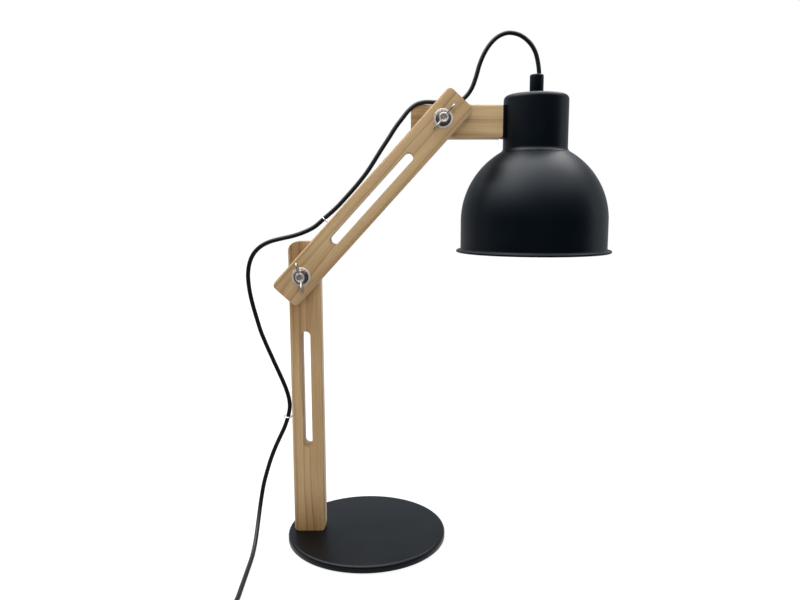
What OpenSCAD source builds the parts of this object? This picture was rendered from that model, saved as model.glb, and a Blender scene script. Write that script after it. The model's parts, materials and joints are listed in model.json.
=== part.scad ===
// Articulated desk lamp.
// A pine post stands on a round steel base. A slotted pine arm turns on a bolt
// at the post's top, and a short pine head arm turns on a bolt at the arm's end
// and carries a spun metal shade with its lampholder. Wing nuts clamp both
// pivots, and a cord runs through two screw eyes down to the table.
// The origin is the middle of the base's underside, +Z is up, +X is the reach
// of the lamp and -Y is the side of the wing nuts.

/* [Base] */
// Diameter of the base plate
base_d = 161; // [140:1:220]
// Thickness of the base plate
base_t = 7; // [5:0.5:12]
// Rounding of the base plate's upper edge
base_edge_r = 2.5; // [0.5:0.5:3.5]
// Thickness of the soft pad under the plate
pad_t = 0.8; // [0.5:0.1:3]
// How far the pad stays inside the plate's edge
pad_inset = 3; // [1:0.5:10]

/* [Planks] */
// Width of the planks, across the grain
plank_w = 31.4; // [28:0.1:44]
// Thickness of the planks
plank_t = 19; // [16:0.5:26]
// Rounding of the planks' long edges
plank_edge_r = 2.4; // [0.5:0.1:3]
// Width of the long slots in the post and the arm
slot_w = 9; // [6:0.5:12]

/* [Post] */
// Length of the post above the base plate
post_h = 297; // [260:1:360]
// Distance of the post's middle from the base plate's edge
post_inset = 22.3; // [20:0.1:45]
// Distance of the post behind the base's middle
post_y = 2; // [-10:0.5:20]
// Length of the slot in the post
post_slot_l = 119; // [60:1:140]
// Rounding of the post's top corners
post_top_r = 10; // [2:0.5:13]
// Rounding of the post's foot corners
post_foot_r = 4; // [1:0.5:8]
// Distance from the post's top down to the lower pivot
pivot_drop = 32.5; // [25:0.5:45]

/* [Upper arm] */
// Distance between the two pivots
arm_l = 198.5; // [180:0.5:260]
// Angle of the arm above the horizontal
arm_angle = 47.4; // [30:0.1:70]
// Length of the arm past each pivot
arm_end = 25.5; // [20:0.5:32]
// Rounding of the arm's corners
arm_end_r = 5; // [1:0.5:12]
// Length of the slot in the arm
arm_slot_l = 113; // [60:1:125]

/* [Head arm] */
// Length of the head arm from the upper pivot to the saddle
head_reach = 57.9; // [50:0.1:90]
// Length of the head arm past the upper pivot
head_tail = 29.5; // [24:0.5:40]
// Rounding of the head arm's free corners
head_end_r = 5; // [1:0.5:12]
// Angle at which the head arm droops
head_droop = 0.2; // [-10:0.1:10]

/* [Pivot bolts] */
// Diameter of the bolts
bolt_d = 6; // [5:0.5:8]
// Diameter of the round bolt heads
bolt_head_d = 15; // [12:0.5:20]
// Height of the round bolt heads
bolt_head_h = 3.6; // [2:0.1:5]
// Length of the square under each bolt head
bolt_square_l = 4; // [2:0.5:8]
// Diameter of the friction washers between the planks
friction_d = 25; // [20:1:28]
// Thickness of the friction washers
friction_t = 1; // [0.8:0.1:3]
// Diameter of the steel washers
washer_d = 18; // [16:0.5:24]
// Thickness of the steel washers
washer_t = 1.6; // [1:0.1:3]

/* [Wing nuts] */
// Diameter of a wing nut's foot
nut_d = 14; // [12.5:0.5:18]
// Diameter of a wing nut's crown
nut_crown_d = 9.6; // [9:0.1:12]
// Height of a wing nut's hub
nut_h = 9; // [7:0.5:14]
// Span over both wings
wing_span = 30; // [28:0.5:40]
// Height of the wings above the nut's foot
wing_h = 14; // [13:0.5:20]
// Thickness of a wing
wing_t = 1.5; // [1.2:0.1:3]
// Direction of the lower nut's wings
lower_nut_turn = 101.5; // [0:0.5:180]
// Direction of the upper nut's wings
upper_nut_turn = 49.5; // [0:0.5:180]

/* [Shade] */
// Height of the shade from its cap to its rim
shade_h = 150; // [140:1:190]
// Height of the cap above the upper pivot
cap_rise = 25; // [22:0.5:32]
// Diameter of the cylindrical neck
neck_d = 62; // [56:0.5:70]
// Rounding of the cap's edge
cap_edge_r = 4.5; // [2:0.5:8]
// Radius of the dome's curve
dome_r = 76.5; // [74:0.5:90]
// Radius of the hollow curve between neck and dome
neck_fillet_r = 5; // [2:0.5:10]
// Diameter of the skirt
skirt_d = 142; // [136:1:170]
// Height of the skirt above the rim
skirt_h = 30.7; // [20:0.1:40]
// Overall diameter of the rim
rim_d = 150.6; // [150:0.1:182]
// Radius of the outward turn above the rim
lip_r = 2.6; // [2:0.1:3]
// Diameter of the rolled bead
bead_d = 2.6; // [2.2:0.1:4]
// Thickness of the sheet metal
sheet_t = 0.8; // [0.6:0.1:1.6]
// Thickness of the saddle between the head arm and the neck
saddle_t = 1.8; // [1:0.1:6]

/* [Lampholder] */
// Diameter of the threaded nipple
nipple_d = 10; // [8:0.5:10]
// Diameter of the holder
holder_d = 37; // [34:0.5:40]
// Length of the holder's lower body
holder_l = 27; // [24:0.5:32]
// Height of the holder's domed cap
holder_cap_h = 20.8; // [17:0.1:24]
// Diameter of the bulb's screw cap
bulb_cap_d = 26.2; // [25:0.1:26.2]
// Diameter of the bulb
bulb_d = 58; // [50:1:62]
// Length of the glass below the holder
bulb_l = 74; // [68:1:80]

/* [Cord and eyes] */
// Diameter of the cord
cord_d = 4.2; // [3.6:0.1:5.2]
// Outer diameter of the screw eyes
eye_d = 9.4; // [9:0.1:14]
// Thickness of the screw eyes' wire
eye_wire = 1.3; // [1:0.1:1.8]
// Length of a screw eye's neck outside the wood
eye_neck = 0.8; // [0.4:0.1:4]
// Depth of the screw eyes in the wood
eye_depth = 10; // [6:0.5:12]
// Distance of the arm's eye from the lower pivot
arm_eye_s = 55; // [50:1:90]
// Height of the post's eye above the table
post_eye_z = 126.3; // [100:0.1:180]
// Diameter of the cord grip on the cap
grip_d = 13.2; // [12:0.1:18]
// Height of the cord grip
grip_h = 19.5; // [18:0.5:30]

/* [Switch and plug] */
// Length of the switch on the lead
switch_l = 60; // [56:1:80]
// Width of the switch
switch_w = 25; // [24:0.5:32]
// Height of the switch
switch_h = 18; // [17.5:0.5:22]
// Angle that the rocker travels
rocker_travel = 16; // [8:1:20]
// Length of the tapered sleeves at the switch and the plug
sleeve_l = 22; // [20:1:30]
// Length of the plug's body
plug_l = 35; // [32:1:45]
// Width of the plug at its face
plug_w = 35.2; // [34:0.2:40]
// Height of the plug
plug_h = 13.6; // [13:0.1:16]
// Diameter of the plug's pins
pin_d = 4; // [3.8:0.1:5]
// Length of the plug's pins
pin_l = 19; // [15:0.5:20]
// Distance between the plug's pins
pin_gap = 18.6; // [17:0.1:20]

/* [Coil] */
// Number of turns in the stored coil
coil_turns = 5; // [3:2:7]
// Radius of the innermost turn
coil_in_r = 20.5; // [20:0.5:30]
// Gap between neighbouring turns of a layer
turn_gap = 1.4; // [1.3:0.1:3]
// Gap between the lower and the upper layer
layer_gap = 0.8; // [0.7:0.1:3]
// Width of the tie around the coil
tie_w = 10; // [6:1:14]
// Thickness of the tie
tie_t = 0.8; // [0.6:0.1:1.5]

/* [Fits] */
// Gap around a pin, screw or bolt in its hole
pin_fit = 0.05; // [0.02:0.01:0.09]
// Gap around a bolt in a washer
washer_fit = 0.2; // [0.1:0.05:0.4]
// Gap between fixed pieces with curved faces
seat_fit = 0.1; // [0.05:0.05:0.2]
// Gap around the cord in its sleeves and grip
cord_fit = 0.15; // [0.1:0.05:0.3]
// Gap around the rocker in its window
rocker_fit = 0.4; // [0.3:0.1:0.8]

/* [Hidden] */

$fn = 64;
arc_steps = 6;
cut = 1;

wood = [0.67, 0.55, 0.41];
steel = [0.80, 0.80, 0.82];
black = [0.07, 0.08, 0.09];
brass = [0.78, 0.64, 0.34];

// Heights and pivots of the standing lamp
base_top = pad_t + base_t;
post_x = post_inset - base_d / 2;
post_top = base_top + post_h;
lower_pivot = [post_x, post_y, post_top - pivot_drop];
upper_pivot = lower_pivot + arm_l * [cos(arm_angle), 0, sin(arm_angle)];

// The clamped stack, counted forward from the back of the rear plank
arm_level = plank_t + friction_t;
washer_level = arm_level + plank_t;
nut_level = washer_level + washer_t;
bolt_recess = 0.8;
bolt_l = nut_level + nut_h - bolt_recess;
arm_dy = -arm_level;
eye_off = plank_w / 2 + eye_neck + eye_d / 2;

// Screws in the wood
base_screw_d = 4;
base_screw_head_d = 8.4;
base_screw_head_h = 2.4;
base_screw_l = 32;
base_screw_gap = 15;
head_screw_d = 3.5;
head_screw_head_d = 8;
head_screw_head_h = 2.6;
head_screw_depth = 22;
head_screw_gap = 16;

// The shade's axis and heights in the head arm's frame
neck_r = neck_d / 2;
skirt_r = skirt_d / 2;
shade_x = head_reach + saddle_t + neck_r;
rim_z = cap_rise - shade_h;
cap_inner_z = cap_rise - sheet_t;

// The lampholder, counted down from the underside of the cap
nipple_bore_d = nipple_d - 3;
nipple_in_grip = 9;
nipple_in_holder = 6;
nipple_nut_w = 14;
nipple_nut_h = 3;
holder_top_z = cap_inner_z - nipple_nut_h;
holder_split_z = holder_top_z - holder_cap_h;
holder_end_z = holder_split_z - holder_l;
holder_wall = 2;
holder_floor = 4;
shell_t = 0.5;
bulb_fit = 0.2;
shell_in_r = bulb_cap_d / 2 + bulb_fit;
shell_out_r = shell_in_r + shell_t;
contact_h = 1.2;
glass_t = 1;

// The cord grip
grip_bore_x = 2;
grip_cord_depth = 5;
grip_screw_d = 3;
grip_screw_head_d = 3.8;
grip_screw_proud = 1.2;
grip_screw_z = 14.2;

// The switch lies along Y and the plug along X, both on the table
switch_pos = [-105, -200];
switch_split = 8;
switch_wall = 2;
switch_corner_r = 6;
switch_top_r = 3;
rocker_r = 9;
rocker_w = 9.6;
rocker_z = switch_h - 5;
rocker_axle_d = 2.4;
rocker_rib_t = 2;
sleeve_big_d = 9.4;
sleeve_small_d = cord_d + 2;
switch_screw_d = 2;
switch_screw_head_d = 4.6;
switch_screw_head_h = 1.8;
switch_screw_y = switch_l / 2 - 8;
boss_d = 6.4;
plug_z = plug_h / 2;
pin_seat = 8;

// The stored coil lies on its tie
cord_r = cord_d / 2;
coil_pitch = cord_d + turn_gap;
coil_layer = cord_d + layer_gap;
coil_out_r = coil_in_r + coil_pitch * (coil_turns / 2 - 1 / 4);
coil_z = tie_t + 0.2 + cord_r;
coil_pos = [-45, -280 + coil_out_r];
coil_lead_in = 10;
coil_run_out = 12;
coil_descent = 26;
plug_x = coil_pos.x + coil_run_out + coil_descent + sleeve_l;
plug_pos = [plug_x, coil_pos.y - coil_out_r, plug_z];
rings_per_turn = 24;
coil_sides = 6;
cord_sides = 10;

// Small helpers
function unit(v) = v / norm(v);
function arc(c, r, from, to, n = arc_steps) = [
  for (i = [0:n])
    let (a = from + (to - from) * i / n)
      c + r * [cos(a), sin(a)]
];
function reverse(list) = [for (i = [len(list) - 1:-1:0]) list[i]];
function part_of(list, from, to) = [for (i = [from:to]) list[i]];

// Rectangle from low to high, with its own rounding at the low-x and high-x ends
function round_rect(low, high, r0, r1) = concat(
  arc([low.x + r0, low.y + r0], r0, 180, 270),
  arc([high.x - r1, low.y + r1], r1, 270, 360),
  arc([high.x - r1, high.y - r1], r1, 0, 90),
  arc([low.x + r0, high.y - r0], r0, 90, 180)
);

// Places in the arm's and the head arm's frames, given in the lamp's frame
function arm_point(p) = lower_pivot + [
  p.x * cos(arm_angle) - p.z * sin(arm_angle),
  p.y,
  p.x * sin(arm_angle) + p.z * cos(arm_angle)
];
function head_point(p) = upper_pivot + [
  p.x * cos(head_droop) + p.z * sin(head_droop),
  p.y,
  p.z * cos(head_droop) - p.x * sin(head_droop)
];

module post_frame() {
  translate([post_x, post_y, base_top]) children();
}
module arm_frame() {
  translate(lower_pivot) rotate([0, -arm_angle, 0]) children();
}
module head_frame() {
  translate(upper_pivot) rotate([0, head_droop, 0]) children();
}
module shade_frame() {
  head_frame() translate([shade_x, 0, 0]) children();
}
// Along a pivot bolt: z runs forward from the back of the rear plank
module stack_frame(level = 0) {
  translate([0, plank_t / 2, 0]) rotate([90, 0, 0]) translate([0, 0, level]) children();
}
module switch_frame() {
  translate([switch_pos.x, switch_pos.y, 0]) children();
}
module plug_frame() {
  translate(plug_pos) children();
}

// A plank along X from a to b with eased long edges
module plank(a, b, ra, rb) {
  outline = round_rect([a, -plank_w / 2], [b, plank_w / 2], ra, rb);
  section = round_rect([-plank_t / 2, -plank_w / 2], [plank_t / 2, plank_w / 2],
    plank_edge_r, plank_edge_r);
  intersection() {
    rotate([90, 0, 0]) linear_extrude(plank_t + cut, center = true) polygon(outline);
    rotate([90, 0, 90]) translate([0, 0, a - cut])
      linear_extrude(b - a + 2 * cut) polygon(section);
  }
}
// A round hole through a plank, across its face
module cross_hole(x, d) {
  translate([x, 0, 0]) rotate([90, 0, 0]) cylinder(d = d, h = plank_t + 2 * cut, center = true);
}
module plank_slot(middle, l) {
  straight = l - slot_w;
  translate([middle - straight / 2, -plank_t / 2 - cut, -slot_w / 2])
    cube([straight, plank_t + 2 * cut, slot_w]);
  for (side = [-1, 1])
    cross_hole(middle + side * straight / 2, slot_w);
}
module square_hole(x) {
  side = bolt_d + 2 * pin_fit;
  deep = bolt_square_l + seat_fit;
  translate([x - side / 2, plank_t / 2 - deep, -side / 2]) cube([side, deep + cut, side]);
}

// A ring of wire on a straight shank: the ring lies in the XZ plane of its own frame
module screw_eye() {
  ring_r = (eye_d - eye_wire) / 2;
  rotate([90, 0, 0]) rotate_extrude() translate([ring_r, 0]) circle(d = eye_wire);
  translate([0, 0, -eye_d / 2 - eye_neck - eye_depth])
    cylinder(d = eye_wire, h = eye_depth + eye_neck + eye_wire / 2);
}
module eye_hole() {
  translate([0, 0, plank_w / 2 - eye_depth - seat_fit])
    cylinder(d = eye_wire + 2 * pin_fit, h = eye_depth + cut);
}

module carriage_bolt() {
  dome_h = bolt_head_h - 0.8;
  sphere_r = (pow(bolt_head_d / 2, 2) + dome_h * dome_h) / (2 * dome_h);
  edge_a = asin(bolt_head_d / 2 / sphere_r);
  rotate_extrude() polygon(concat(
    [[0, 0], [bolt_head_d / 2, 0]],
    arc([0, sphere_r - bolt_head_h], sphere_r, edge_a - 90, -90)
  ));
  translate([-bolt_d / 2, -bolt_d / 2, -bolt_recess / 2])
    cube([bolt_d, bolt_d, bolt_square_l + bolt_recess / 2]);
  cylinder(d = bolt_d, h = bolt_l - bolt_recess);
  translate([0, 0, bolt_l - bolt_recess])
    cylinder(d1 = bolt_d, d2 = bolt_d - 2 * bolt_recess, h = bolt_recess);
}
module flat_washer(d, t) {
  difference() {
    cylinder(d = d, h = t);
    translate([0, 0, -cut]) cylinder(d = bolt_d + 2 * washer_fit, h = t + 2 * cut);
  }
}
// A turned hub with two thin ears that rise forward and outward
module wing_nut() {
  foot_h = 1.6;
  ear_r = 4.4;
  ear_c = [wing_span / 2 - ear_r, wing_h - ear_r];
  root = nut_crown_d / 2 - 1;
  ear = concat(
    [[root, foot_h + 0.6]],
    arc(ear_c, ear_r, -50, 130, 2 * arc_steps),
    [[root, nut_h - 0.8]]
  );
  difference() {
    union() {
      rotate_extrude() polygon([
        [0, 0], [nut_d / 2, 0], [nut_d / 2, foot_h], [nut_d / 2 - 0.8, foot_h + 0.7],
        [nut_crown_d / 2, nut_h - 0.6], [nut_crown_d / 2 - 0.6, nut_h], [0, nut_h]
      ]);
      for (turn = [0, 180])
        rotate([90, 0, turn]) linear_extrude(wing_t, center = true) polygon(ear);
    }
    translate([0, 0, -cut]) cylinder(d = bolt_d + 2 * pin_fit, h = nut_h + 2 * cut);
  }
}

// Base
module base_screw_place() {
  for (side = [-1, 1])
    translate([post_x + side * base_screw_gap / 2, post_y, pad_t]) children();
}
module base_screw(grow = 0) {
  cylinder(d = base_screw_d + 2 * grow, h = base_screw_l + 2 * grow);
  cylinder(d1 = base_screw_head_d + 2 * grow, d2 = base_screw_d + 2 * grow,
    h = base_screw_head_h);
}
module base_plate() {
  bottom_r = 0.6;
  r = base_d / 2;
  color(black) difference() {
    rotate_extrude($fn = 128) polygon(concat(
      [[0, pad_t], [r - bottom_r, pad_t], [r, pad_t + bottom_r]],
      arc([r - base_edge_r, base_top - base_edge_r], base_edge_r, 0, 90),
      [[0, base_top]]
    ));
    base_screw_place() base_screw(pin_fit);
    base_screw_place() translate([0, 0, -cut])
      cylinder(d = base_screw_head_d + 2 * pin_fit, h = cut);
  }
}
module base_pad() {
  color([0.12, 0.12, 0.12]) cylinder(d = base_d - 2 * pad_inset, h = pad_t, $fn = 128);
}
module base_screws() {
  color(steel) base_screw_place() base_screw();
}

// Post
module post() {
  color(wood) difference() {
    post_frame() rotate([0, -90, 0]) difference() {
      plank(0, post_h, post_foot_r, post_top_r);
      plank_slot(post_h / 2, post_slot_l);
      cross_hole(post_h - pivot_drop, bolt_d + 2 * pin_fit);
      square_hole(post_h - pivot_drop);
      translate([post_eye_z - base_top, 0, 0]) eye_hole();
    }
    base_screw_place() base_screw(pin_fit);
  }
}
module post_screw_eye() {
  color(steel) translate([post_x - eye_off, post_y, post_eye_z])
    rotate([0, -90, 0]) rotate([0, 0, 90]) screw_eye();
}

// Lower pivot
module lower_bolt() {
  color(steel) translate(lower_pivot) stack_frame() carriage_bolt();
}
module lower_friction_washer() {
  color([0.2, 0.2, 0.2]) translate(lower_pivot) stack_frame(plank_t)
    flat_washer(friction_d, friction_t);
}
module lower_washer() {
  color(steel) translate(lower_pivot) stack_frame(washer_level)
    flat_washer(washer_d, washer_t);
}
module lower_wing_nut() {
  color(steel) translate(lower_pivot) stack_frame(nut_level)
    rotate([0, 0, lower_nut_turn]) wing_nut();
}

// Upper arm
module upper_arm() {
  color(wood) arm_frame() translate([0, arm_dy, 0]) difference() {
    plank(-arm_end, arm_l + arm_end, arm_end_r, arm_end_r);
    plank_slot(arm_l / 2, arm_slot_l);
    cross_hole(0, bolt_d + 2 * pin_fit);
    cross_hole(arm_l, bolt_d + 2 * pin_fit);
    translate([arm_eye_s, 0, 0]) eye_hole();
  }
}
module arm_screw_eye() {
  color(steel) arm_frame() translate([arm_eye_s, arm_dy, eye_off])
    rotate([0, 0, 90]) screw_eye();
}

// Upper pivot
module upper_bolt() {
  color(steel) head_frame() stack_frame() carriage_bolt();
}
module upper_friction_washer() {
  color([0.2, 0.2, 0.2]) head_frame() stack_frame(plank_t)
    flat_washer(friction_d, friction_t);
}
module upper_washer() {
  color(steel) translate(upper_pivot) stack_frame(washer_level)
    flat_washer(washer_d, washer_t);
}
module upper_wing_nut() {
  color(steel) translate(upper_pivot) stack_frame(nut_level)
    rotate([0, 0, upper_nut_turn]) wing_nut();
}

// Head arm, with two screws from inside the neck into its end
module head_screw_place() {
  seat = sqrt(pow(neck_r - sheet_t, 2) - pow(head_screw_head_d / 2, 2));
  for (side = [-1, 1])
    translate([shade_x - seat + seat_fit, 0, side * head_screw_gap / 2])
      rotate([0, -90, 0]) children();
}
module head_screw(grow = 0) {
  reach = neck_r + saddle_t + head_screw_depth;
  cylinder(d = head_screw_d + 2 * grow, h = reach + grow);
}
module head_screw_head() {
  dome = 0.8;
  rotate_extrude() polygon([
    [0, 0], [head_screw_head_d / 2, 0], [head_screw_head_d / 2, -head_screw_head_h + dome],
    [head_screw_head_d / 2 - dome, -head_screw_head_h], [0, -head_screw_head_h]
  ]);
}
module head_arm() {
  color(wood) head_frame() difference() {
    plank(-head_tail, head_reach, head_end_r, plank_edge_r);
    cross_hole(0, bolt_d + 2 * pin_fit);
    square_hole(0);
    head_screw_holes();
  }
}
module head_screw_holes() {
  head_screw_place() head_screw(pin_fit);
}
module neck_saddle() {
  deep = plank_t - 1;
  tall = plank_w - 1;
  color(black) head_frame() difference() {
    translate([head_reach, -deep / 2, -tall / 2]) cube([saddle_t + neck_r, deep, tall]);
    translate([shade_x, 0, -tall]) cylinder(r = neck_r + seat_fit, h = 2 * tall, $fn = 128);
    head_screw_holes();
  }
}
module head_screws() {
  color(steel) head_frame() head_screw_place() {
    head_screw();
    head_screw_head();
  }
}

// Shade: one spun sheet, drawn as an outer and an inner outline
function shade_section() =
  let (
    dome_c = [skirt_r - dome_r, rim_z + skirt_h],
    fillet_x = neck_r + neck_fillet_r,
    fillet_z = dome_c.y + sqrt(pow(dome_r + neck_fillet_r, 2) - pow(fillet_x - dome_c.x, 2)),
    join = atan2(fillet_z - dome_c.y, fillet_x - dome_c.x),
    cap_c = [neck_r - cap_edge_r, cap_rise - cap_edge_r],
    bead_r = bead_d / 2,
    bead_c = [rim_d / 2 - bead_r, rim_z + bead_r],
    lip_top = bead_c.y + sheet_t / 2,
    lip_c = [skirt_r + lip_r, lip_top + lip_r],
    hole_r = nipple_d / 2 + pin_fit,
    bead_a = asin(sheet_t / 2 / bead_r),
    smooth = 2 * arc_steps
  )
  concat(
    [[hole_r, cap_rise]],
    arc(cap_c, cap_edge_r, 90, 0),
    arc([fillet_x, fillet_z], neck_fillet_r, 180, 180 + join),
    arc(dome_c, dome_r, join, 0, smooth),
    arc(lip_c, lip_r, 180, 270),
    arc(bead_c, bead_r, 180 - bead_a, -180 + bead_a, smooth),
    arc(lip_c, lip_r + sheet_t, 270, 180),
    arc(dome_c, dome_r - sheet_t, 0, join, smooth),
    arc([fillet_x, fillet_z], neck_fillet_r + sheet_t, 180 + join, 180),
    arc(cap_c, cap_edge_r - sheet_t, 0, 90),
    [[hole_r, cap_inner_z]]
  );
module shade() {
  color(black) difference() {
    shade_frame() rotate_extrude($fn = 128) polygon(shade_section());
    head_frame() head_screw_holes();
  }
}

// Nipple, nut and cord grip on the cap
module nipple() {
  low = holder_top_z - nipple_in_holder;
  color(brass) shade_frame() translate([0, 0, low]) difference() {
    cylinder(d = nipple_d, h = cap_rise + nipple_in_grip - low);
    translate([0, 0, -cut]) cylinder(d = nipple_bore_d, h = shade_h);
  }
}
module nipple_nut() {
  color(brass) shade_frame() translate([0, 0, holder_top_z]) difference() {
    cylinder(d = nipple_nut_w / cos(30), h = nipple_nut_h, $fn = 6);
    translate([0, 0, -cut]) cylinder(d = nipple_d + 2 * pin_fit, h = nipple_nut_h + 2 * cut);
  }
}
module cord_grip() {
  top_r = 1.6;
  r = grip_d / 2;
  color(black) shade_frame() translate([0, 0, cap_rise]) difference() {
    rotate_extrude() polygon(concat(
      [[0, 0], [r, 0]],
      arc([r - top_r, grip_h - top_r], top_r, 0, 90),
      [[0, grip_h]]
    ));
    translate([0, 0, -cut]) cylinder(d = nipple_d + 2 * pin_fit,
      h = nipple_in_grip + seat_fit + cut);
    translate([grip_bore_x, 0, 0]) cylinder(r = cord_r + cord_fit, h = grip_h + cut);
    translate([grip_bore_x, 0, grip_screw_z]) rotate([-90, 0, 0])
      cylinder(d = grip_screw_d + 2 * pin_fit, h = r + cut);
  }
}
module grip_screw() {
  tip = cord_r + cord_fit + seat_fit;
  place = [grip_bore_x, 0, cap_rise + grip_screw_z];
  color(steel) shade_frame() translate(place) rotate([-90, 0, 0]) {
    translate([0, 0, tip]) cylinder(d = grip_screw_d, h = grip_d / 2 - tip + seat_fit);
    translate([0, 0, grip_d / 2 + seat_fit])
      cylinder(d1 = grip_screw_head_d, d2 = grip_screw_d, h = grip_screw_proud);
  }
}

// Lampholder and bulb
module holder_cap() {
  r = holder_d / 2;
  in_r = r - holder_wall;
  dome = 6;
  color(black) shade_frame() difference() {
    rotate_extrude() polygon(concat(
      [[0, holder_split_z], [r, holder_split_z]],
      arc([r - dome, holder_top_z - dome], dome, 0, 90),
      [[0, holder_top_z]]
    ));
    translate([0, 0, holder_split_z - cut])
      cylinder(r = in_r, h = holder_cap_h - nipple_in_holder - holder_wall + cut);
    translate([0, 0, holder_split_z]) cylinder(d = nipple_d + 2 * pin_fit,
      h = holder_cap_h + cut);
  }
}
module holder_body() {
  r = holder_d / 2;
  collar = 1.2;
  color(black) shade_frame() difference() {
    rotate_extrude() polygon([
      [0, holder_end_z], [r, holder_end_z], [r, holder_end_z + 6],
      [r + collar, holder_end_z + 7], [r + collar, holder_end_z + 10], [r, holder_end_z + 11],
      [r, holder_split_z], [0, holder_split_z]
    ]);
    translate([0, 0, holder_end_z - cut])
      cylinder(r = shell_out_r + seat_fit, h = holder_l - holder_floor + cut);
    translate([0, 0, holder_end_z]) cylinder(d = 4, h = holder_l + cut);
  }
}
module holder_shell() {
  color(brass) shade_frame() translate([0, 0, holder_end_z]) difference() {
    cylinder(r = shell_out_r, h = holder_l - holder_floor);
    translate([0, 0, -cut]) cylinder(r = shell_in_r, h = holder_l + cut);
  }
}
module holder_contact() {
  color(brass) shade_frame()
    translate([0, 0, holder_split_z - holder_floor - contact_h]) cylinder(d = 8, h = contact_h);
}
module bulb_cap() {
  top = holder_split_z - holder_floor - contact_h - seat_fit;
  r = bulb_cap_d / 2;
  color([0.75, 0.75, 0.76]) shade_frame() rotate_extrude() polygon([
    [0, holder_end_z], [r, holder_end_z], [r, top - 5], [5, top - 1.2], [4.5, top], [0, top]
  ]);
}
module bulb_glass() {
  r = bulb_d / 2;
  neck = bulb_cap_d / 2 - 0.4;
  globe = [0, holder_end_z - bulb_l + r];
  neck_h = 4;
  color([0.95, 0.95, 0.9]) shade_frame() rotate_extrude() polygon(concat(
    [[neck, holder_end_z], [neck, holder_end_z - neck_h]],
    arc(globe, r, 38, -90, 2 * arc_steps),
    arc(globe, r - glass_t, -90, 38, 2 * arc_steps),
    [[neck - glass_t, holder_end_z - neck_h], [neck - glass_t, holder_end_z]]
  ));
}

// Route of the cord: points chosen by hand between the grip, the two screw eyes
// and the switch
head_route = [
  [167.6, 2, 474.5], [164.8, 2, 483.8], [159.2, 2, 492.2], [150.3, 2, 498.8], [139.5, 2, 501],
  [130.2, 2, 498], [122.7, 2, 491.5], [116.7, 2, 482.5], [112.2, 2, 472], [108.9, 2, 460.5],
  [104.6, 2, 449.5], [98, 2, 441.2], [88.5, 1.5, 437], [78, 0.5, 436.4], [68.5, -3, 436.6],
  [60, -7, 436.2], [52, -10.5, 433.8], [45, -13, 428.4], [38.5, -14.5, 420.5], [32, -15.5, 412],
  [25.5, -16.5, 402], [18.5, -17.5, 391.5], [11.5, -18, 380.5], [4, -18, 369.5],
  [-5, -18, 358.5], [-14.5, -18, 348], [-24.8, -18, 337.3]
];
arm_route = [
  [-46.2, -17.3, 319.2], [-57, -15.5, 314], [-68, -13, 310.5], [-79.5, -9.8, 307.9],
  [-90.7, -6.5, 305], [-100.4, -3.8, 300.4], [-108.1, -1.8, 293.3], [-112.9, -0.5, 284],
  [-115.1, 0.5, 273], [-114.9, 1, 261.5], [-113.4, 1.5, 250], [-111, 2, 238.5],
  [-108, 2, 227], [-104.5, 2, 214.5], [-100, 2, 202.5], [-95.3, 2, 191], [-90.5, 2, 179.5],
  [-85.6, 2, 168], [-81.3, 2, 157], [-78.4, 2, 147], [-77.4, 2, 137]
];
lead_z = cord_r + 0.1;
lead_route = [
  [-83.3, 2, 115], [-88.5, 2, 104], [-93.8, 2, 92.5], [-98.5, 2, 80.5], [-102.5, 1.5, 68],
  [-105.8, 0.5, 56], [-108, -1.5, 44], [-109.3, -6, 32.5], [-109.8, -13.5, 22],
  [-109.7, -23.5, 13.2], [-109.3, -35, lead_z + 4.6], [-108.8, -47.5, lead_z + 1.2],
  [-108.3, -60, lead_z + 0.1], [-107.8, -72.5, lead_z], [-107.3, -85, lead_z],
  [-106.8, -97.5, lead_z], [-106.3, -110, lead_z], [-105.8, -122, lead_z + 0.1],
  [-105.3, -132.5, 4.2], [-105, -142, 6.8]
];
link_route = [
  [-105, -259, 7.3], [-103.5, -267, 6], [-98.5, -274, 4.7], [-90.5, -278.5, 3.8],
  [-80, -280, coil_z + 0.1], [-68, -280, coil_z]
];

grip_cord_z = cap_rise + grip_h;
grip_inside = head_point([shade_x + grip_bore_x, 0, grip_cord_z - grip_cord_depth]);
grip_outside = head_point([shade_x + grip_bore_x, 0, grip_cord_z + cord_d / 2]);
arm_eye = arm_point([arm_eye_s, arm_dy, eye_off]);
post_eye = [post_x - eye_off, post_y, post_eye_z];
switch_in = [switch_pos.x, switch_pos.y + switch_l / 2, switch_split];
switch_out = [switch_pos.x, switch_pos.y - switch_l / 2, switch_split];
sleeve_run = [0, sleeve_l, 0];

cord_line = concat(
  [grip_inside, grip_outside], head_route, [arm_eye], arm_route, [post_eye], lead_route,
  [switch_in + sleeve_run, switch_in]
);
arm_eye_at = 2 + len(head_route);
post_eye_at = arm_eye_at + 1 + len(arm_route);
cord_end_at = len(cord_line) - 1;

coil_start = [coil_pos.x - coil_lead_in, coil_pos.y - coil_out_r, coil_z];
link_line = concat([switch_out, switch_out - sleeve_run], link_route,
  [coil_start]);

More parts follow.
